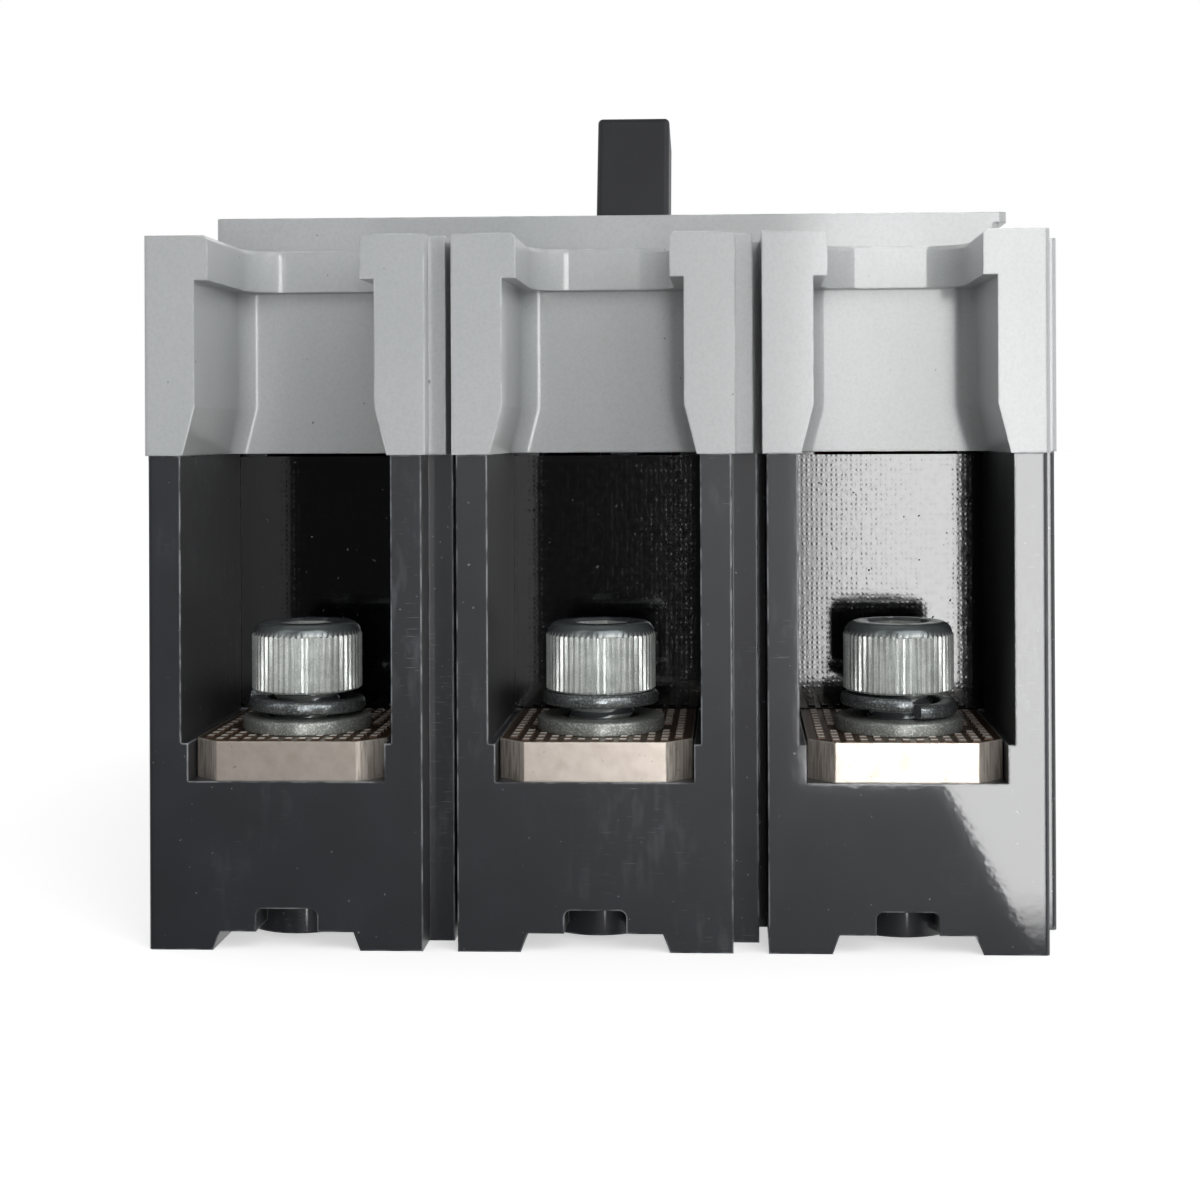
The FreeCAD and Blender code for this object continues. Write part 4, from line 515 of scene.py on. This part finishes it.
def screw_head(centre, seat, turn):
    """Closed knurled head with a rounded shoulder and a hexagon socket."""
    count = KNURL_COUNT * KNURL_POINTS
    top = seat + HEAD_HEIGHT
    shoulder = HEAD_RADIUS - HEAD_SHOULDER_RADIUS + HEAD_SHOULDER
    socket = hexagon(SOCKET_WIDTH, turn)
    stack = [(THREAD_RADIUS * HEAD_CORE_SHARE, seat),
             (HEAD_RADIUS - KNURL_DEPTH - HEAD_FOOT_INSET, seat),
             (knurled(HEAD_RADIUS), seat + HEAD_FOOT_BEVEL),
             (knurled(HEAD_RADIUS), top - shoulder),
             (HEAD_SHOULDER_RADIUS, top - HEAD_SHOULDER)]
    for degrees in SHOULDER_BENDS:
        bend = math.radians(degrees)
        stack.append((HEAD_SHOULDER_RADIUS - HEAD_SHOULDER * (1 - math.cos(bend)),
                      top - HEAD_SHOULDER + HEAD_SHOULDER * math.sin(bend)))
    stack += [(SOCKET_MOUTH, top), (socket, top - SOCKET_MOUTH_DEPTH), (socket, top - SOCKET_DEPTH),
              (SOCKET_TIP_RADIUS, top - SOCKET_DEPTH - SOCKET_TIP_DEPTH)]
    verts = [point for radius, z in stack for point in round_points(centre, radius, z, count)]
    return verts, rings_to_faces(len(stack), count)


def screw_thread(centre, bottom, top):
    """Shank with a helical thread, pointed a little at its end."""
    turns = (top - bottom) / THREAD_PITCH
    rings = int(turns * THREAD_RINGS_PER_TURN) + 1
    verts = []
    for ring in range(rings):
        z = bottom + (top - bottom) * ring / (rings - 1)
        taper = min(1.0, THREAD_TIP_SHARE + (1 - THREAD_TIP_SHARE) * (z - bottom) / THREAD_PITCH)

        def radius(angle, z=z, taper=taper):
            phase = (z / THREAD_PITCH - angle / (2 * math.pi)) % 1
            return taper * (THREAD_RADIUS - THREAD_DEPTH * abs(2 * phase - 1))

        verts += round_points(centre, radius, z, THREAD_POINTS)
    return verts, rings_to_faces(rings, THREAD_POINTS)


def joined(*parts):
    """Several sets of points and faces as one."""
    verts, faces = [], []
    for part_verts, part_faces in parts:
        shift = len(verts)
        verts += part_verts
        faces += [tuple(index + shift for index in face) for face in part_faces]
    return verts, faces


# Spring washers, each as it was squeezed: the way its split faces, how far its ends stand apart,
# how it leans, and the share of the free height by which it is lifted against the screw head

SPRING_RADIUS = 6.8
SPRING_WIDTH = 2.3
SPRING_HEIGHT = 1.5
SPRING_ROUND = 0.55
SPRING_LIE = {
    ("line", 1): {"split": 185, "rise": 0.7, "lean": 0.3, "toward": 200},
    ("line", 2): {"split": 95, "rise": 0.1, "lean": 0.1, "toward": 265, "lift": 1},
    ("line", 3): {"split": 283, "rise": 0.8, "lean": 0.25, "toward": 180},
    ("load", 1): {"split": 40, "rise": 0.6, "lean": 0.3, "toward": 60},
    ("load", 2): {"split": 150, "rise": 0.7, "lean": 0.2, "toward": 120},
    ("load", 3): {"split": 320, "rise": 0.5, "lean": 0.4, "toward": 90},
}
SPRING_GAP_DEGREES = 9
SPRING_STEPS = 90
CORNER_BENDS = (0, 30, 60, 90)


def spring_washer(centre, bottom, top, lie):
    """Split ring that climbs from one end to the other between the flat washer and the head."""
    corner = SPRING_ROUND
    half_width, half_height = SPRING_WIDTH / 2 - corner, SPRING_HEIGHT / 2 - corner
    section = []
    for quarter, (side, up) in enumerate(((1, 1), (-1, 1), (-1, -1), (1, -1))):
        for degrees in CORNER_BENDS:
            bend = math.radians(90 * quarter + degrees)
            section.append((side * half_width + corner * math.cos(bend),
                            up * half_height + corner * math.sin(bend)))
    middle = SPRING_RADIUS - SPRING_WIDTH / 2
    turn = 360 - SPRING_GAP_DEGREES
    room = top - bottom - SPRING_HEIGHT
    travel = lie["rise"] + 2 * lie["lean"]
    ease = min(1.0, room / travel)
    lift = (room - ease * travel) / 2 * lie.get("lift", 0)
    verts = []
    for step in range(SPRING_STEPS + 1):
        share = step / SPRING_STEPS
        angle = math.radians(lie["split"] + SPRING_GAP_DEGREES / 2 + turn * share)
        lean = lie["lean"] * math.cos(angle - math.radians(lie["toward"]))
        height = (bottom + top) / 2 + lift + ease * (lie["rise"] * (share - 0.5) + lean)
        for out, up in section:
            reach = middle + out
            verts.append((centre[0] + reach * math.cos(angle),
                          centre[1] + reach * math.sin(angle), height + up))
    return verts, rings_to_faces(SPRING_STEPS + 1, len(section))


# Flat washers, punched: the upper edge is rolled over and the lower edge is sharp

FLAT_RADIUS = 7.5
FLAT_BORE = 4.4
FLAT_ROLL = 0.35
FLAT_BURR = (0.08, 0.1)
FLAT_BORE_BEVEL = 0.2
FLAT_POINTS = 72


def flat_washer(centre, bottom, top):
    """Punched ring with a rolled upper edge."""
    inset, rise = FLAT_BURR
    stack = [(FLAT_BORE, bottom), (FLAT_RADIUS - inset, bottom), (FLAT_RADIUS, bottom + rise)]
    for degrees in CORNER_BENDS:
        bend = math.radians(degrees)
        stack.append((FLAT_RADIUS - FLAT_ROLL * (1 - math.cos(bend)),
                      top - FLAT_ROLL + FLAT_ROLL * math.sin(bend)))
    stack += [(FLAT_BORE + FLAT_BORE_BEVEL, top), (FLAT_BORE, top - FLAT_BORE_BEVEL)]
    verts = [point for radius, z in stack for point in round_points(centre, radius, z, FLAT_POINTS)]
    return verts, rings_to_faces(len(stack), FLAT_POINTS, closed=True)


# Pressed squares on the tangs, in rows across each terminal and clear of the flat washer

KNURL_PITCH_X = 1.57
KNURL_PITCH_Y = 2.1
KNURL_COLUMNS = 13
KNURL_ROWS = 12
KNURL_INSET = 1.1
KNURL_SIZE = (0.75, 0.95)
KNURL_FOOT = (1.05, 1.25)
KNURL_HEIGHT = 0.22
KNURL_SINK = 0.03
KNURL_CORNER = 4.1
KNURL_CLEARANCE = 0.7


def tang_knurls(centre, end):
    """Low squares with sloping sides over the part of the tang that a cable lug rests on."""
    verts, faces = [], []
    for row in range(KNURL_ROWS):
        for column in range(KNURL_COLUMNS):
            x = (column - (KNURL_COLUMNS - 1) / 2) * KNURL_PITCH_X
            setback = KNURL_INSET + row * KNURL_PITCH_Y
            y = end * (TANG_FRONT - setback)
            under_washer = math.hypot(x, y - centre[1]) < FLAT_RADIUS + KNURL_CLEARANCE
            past_corner = TANG_WIDTH / 2 - abs(x) + setback < KNURL_CORNER
            if under_washer or past_corner:
                continue
            start = len(verts)
            for size, z in ((KNURL_FOOT, TANG_TOP - KNURL_SINK),
                            (KNURL_SIZE, TANG_TOP + KNURL_HEIGHT)):
                for side_x, side_y in ((-1, -1), (1, -1), (1, 1), (-1, 1)):
                    verts.append((centre[0] + x + side_x * size[0] / 2,
                                  y + side_y * size[1] / 2, z))
            faces += [tuple(index + start for index in face) for face in rings_to_faces(2, 4)]
    return verts, faces


for end, sign in ENDS.items():
    for pole in POLES:
        spot = (pole_x(pole), sign * (TANG_FRONT - SCREW_INSET))
        tag = f"{end}_{pole}"
        seat = SCREW_TOP - HEAD_HEIGHT
        turn = math.radians(SOCKET_TURNS[pole] + SOCKET_END_TURN * sign)
        shank = screw_thread(spot, SCREW_END, seat + THREAD_OVERLAP)
        piece(f"terminal_screw_{tag}", *joined(screw_head(spot, seat, turn), shank),
              "zinc_steel", "terminal_screws", material=HEAD_ZINC)
        piece(f"spring_washer_{tag}", *spring_washer(spot, WASHER_TOP, seat, SPRING_LIE[end, pole]),
              "zinc_steel", "spring_washers", material=SPRING_ZINC, angle=50)
        piece(f"flat_washer_{tag}", *flat_washer(spot, TANG_TOP, WASHER_TOP),
              "zinc_steel", "flat_washers", material=WASHER_ZINC)
        piece(f"tang_knurls_{tag}", *tang_knurls(spot, sign), "tinned_copper", material=KNURL_TIN,
              smooth=False)


# Floor and light

FLOOR_SIDE = 2.5
FLOOR_FRONT = -0.34
FLOOR_BACK = 4.0
FLOOR_GREY = 0.86
FLOOR_GLOW_FROM, FLOOR_GLOW_TO = 0.2, 1.0
FLOOR_GLOW_NEAR, FLOOR_GLOW_FAR = 0.55, 0.75

ROOM_FRONT, ROOM_RIGHT, ROOM_BACK = 0.06, 0.9, 0.8
ROOM_BEHIND = (0.05, 0.45)
ROOM_ASIDE = (0.5, 0.9)
WINDOW_LEVEL = 14
WINDOW_LEFT = (0.03, 0.05)
WINDOW_RIGHT = (0.2, 0.17)
WINDOW_TOP = (0.14, 0.11)
WINDOW_SILL = (-0.184, -0.178)
WINDOW_SILL_CORNER = 0.1084
WINDOW_SILL_SLOPE = 1.85
WINDOW_FOOT = (-0.27, -0.235)


def make_floor():
    """Pale floor that keeps the shadow and glows a little more with distance, in metres."""
    corners = [(-FLOOR_SIDE, FLOOR_FRONT, 0), (FLOOR_SIDE, FLOOR_FRONT, 0),
               (FLOOR_SIDE, FLOOR_BACK, 0), (-FLOOR_SIDE, FLOOR_BACK, 0)]
    mesh = bpy.data.meshes.new("floor")
    mesh.from_pydata(corners, [], [(0, 1, 2, 3)])
    floor = bpy.data.objects.new("floor", mesh)
    bpy.context.scene.collection.objects.link(floor)
    finish = Finish("floor_paint", 0.9, specular=0.1)
    tree, shader = finish.tree, finish.shader
    shader.inputs["Base Color"].default_value = grey(FLOOR_GREY)
    glow = finish.add("ShaderNodeEmission")
    away = finish.add("ShaderNodeVectorMath", operation="LENGTH")
    finish.put(away.inputs[0], finish.place)
    finish.put(glow.inputs["Strength"],
               finish.span(away.outputs["Value"], FLOOR_GLOW_FROM, FLOOR_GLOW_TO,
                           FLOOR_GLOW_NEAR, FLOOR_GLOW_FAR))
    rays = finish.add("ShaderNodeLightPath")
    both = finish.add("ShaderNodeAddShader")
    only = finish.add("ShaderNodeMixShader")
    output = tree.nodes["Material Output"]
    tree.links.new(shader.outputs[0], both.inputs[0])
    tree.links.new(glow.outputs[0], both.inputs[1])
    tree.links.new(rays.outputs["Is Camera Ray"], only.inputs[0])
    tree.links.new(shader.outputs[0], only.inputs[1])
    tree.links.new(both.outputs[0], only.inputs[2])
    tree.links.new(only.outputs[0], output.inputs["Surface"])
    mesh.materials.append(finish.material)
    floor.visible_glossy = False


def make_world():
    """White behind the object, and before it a dim room, lighter on the right, with one window.

    Directions in front are told by how far they go sideways and upwards for each step forwards.
    """
    world = bpy.data.worlds.new("room")
    bpy.context.scene.world = world
    world.use_nodes = True
    tree = world.node_tree

    def solve(operation, first, second=0.0):
        node = tree.nodes.new("ShaderNodeMath")
        node.operation = operation
        for socket, value in zip(node.inputs, (first, second)):
            if isinstance(value, bpy.types.NodeSocket):
                tree.links.new(value, socket)
            else:
                socket.default_value = value
        return node.outputs[0]

    def ramp(value, start, end, low_value=0.0, high_value=1.0):
        node = tree.nodes.new("ShaderNodeMapRange")
        node.interpolation_type = "SMOOTHSTEP"
        tree.links.new(value, node.inputs["Value"])
        for name, number in (("From Min", start), ("From Max", end),
                             ("To Min", low_value), ("To Max", high_value)):
            node.inputs[name].default_value = number
        return node.outputs["Result"]

    view = tree.nodes.new("ShaderNodeTexCoord").outputs["Generated"]
    parts = tree.nodes.new("ShaderNodeSeparateXYZ")
    tree.links.new(view, parts.inputs[0])
    forwards = solve("MAXIMUM", solve("MULTIPLY", parts.outputs["Y"], -1), 0.001)
    sideways = solve("DIVIDE", parts.outputs["X"], forwards)
    upwards = solve("DIVIDE", parts.outputs["Z"], forwards)

    corner = solve("MULTIPLY", solve("SUBTRACT", sideways, WINDOW_SILL_CORNER), WINDOW_SILL_SLOPE)
    sill = solve("ADD", upwards, solve("MAXIMUM", corner, 0.0))
    window = ramp(sideways, *WINDOW_LEFT)
    for edge in (ramp(sideways, *WINDOW_RIGHT), ramp(upwards, *WINDOW_TOP),
                 ramp(sill, *WINDOW_SILL), ramp(upwards, *WINDOW_FOOT)):
        window = solve("MULTIPLY", window, edge)

    behind = ramp(parts.outputs["Y"], *ROOM_BEHIND)
    right = ramp(parts.outputs["X"], *ROOM_ASIDE, 0, ROOM_RIGHT)
    room = solve("ADD", solve("MAXIMUM", solve("MULTIPLY", behind, ROOM_BACK), right), ROOM_FRONT)
    level = solve("ADD", room, solve("MULTIPLY", window, WINDOW_LEVEL))
    rays = tree.nodes.new("ShaderNodeLightPath")
    mirrored = solve("MAXIMUM", rays.outputs["Is Glossy Ray"], rays.outputs["Is Transmission Ray"])
    shown = solve("MAXIMUM", rays.outputs["Is Camera Ray"], solve("MULTIPLY", mirrored, behind))
    strength = tree.nodes.new("ShaderNodeMix")
    tree.links.new(shown, strength.inputs[0])
    tree.links.new(level, strength.inputs[2])
    strength.inputs[3].default_value = 1
    ground = tree.nodes["Background"]
    ground.inputs["Color"].default_value = grey(1)
    tree.links.new(strength.outputs[0], ground.inputs["Strength"])


def area_light(name, place, target, size, power):
    """Rectangular lamp at a place in millimetres, turned to a target."""
    lamp = bpy.data.lights.new(name, "AREA")
    lamp.shape = "RECTANGLE"
    lamp.size, lamp.size_y = size[0] * MM, size[1] * MM
    lamp.energy = power
    light = bpy.data.objects.new(name, lamp)
    light.location = Vector(place) * MM
    light.rotation_euler = (Vector(target) - Vector(place)).to_track_quat("-Z", "Y").to_euler()
    bpy.context.scene.collection.objects.link(light)


make_floor()
make_world()
area_light("key", (420, -760, 560), (20, -30, 40), (1000, 900), 5.8)
area_light("fill", (-700, -300, 520), (0, 0, 40), (900, 900), 2)


# Camera, fitted to the photograph: principal point and focal length in pixels of its square frame

PHOTO_SIZE = 1200
FOCAL_PIXELS = 1920.77
PRINCIPAL = (650.44, 427.74)
CAMERA_PLACE = (15.62, -297.72, 58.37)
YAW, PITCH, ROLL = -0.0425, -0.0027, -0.0044
SENSOR = 36
CLIP = (0.01, 20)


def make_camera():
    """Camera at the photograph's place, with its off-centre frame as lens shift."""
    lens = bpy.data.cameras.new("camera")
    lens.sensor_width = SENSOR
    lens.lens = FOCAL_PIXELS / PHOTO_SIZE * SENSOR
    lens.shift_x = (PHOTO_SIZE / 2 - PRINCIPAL[0]) / PHOTO_SIZE
    lens.shift_y = (PRINCIPAL[1] - PHOTO_SIZE / 2) / PHOTO_SIZE
    lens.clip_start, lens.clip_end = CLIP
    camera = bpy.data.objects.new("camera", lens)
    bpy.context.scene.collection.objects.link(camera)
    turned = (Matrix.Rotation(ROLL, 3, "Y") @ Matrix.Rotation(PITCH, 3, "X")
              @ Matrix.Rotation(YAW, 3, "Z"))
    upright = Matrix.Rotation(math.pi / 2, 3, "X")
    camera.matrix_world = (Matrix.Translation(Vector(CAMERA_PLACE) * MM)
                           @ (turned.transposed() @ upright).to_4x4())
    bpy.context.scene.camera = camera


make_camera()
bpy.context.scene.view_settings.view_transform = "Standard"

bpy.context.view_layer.update()
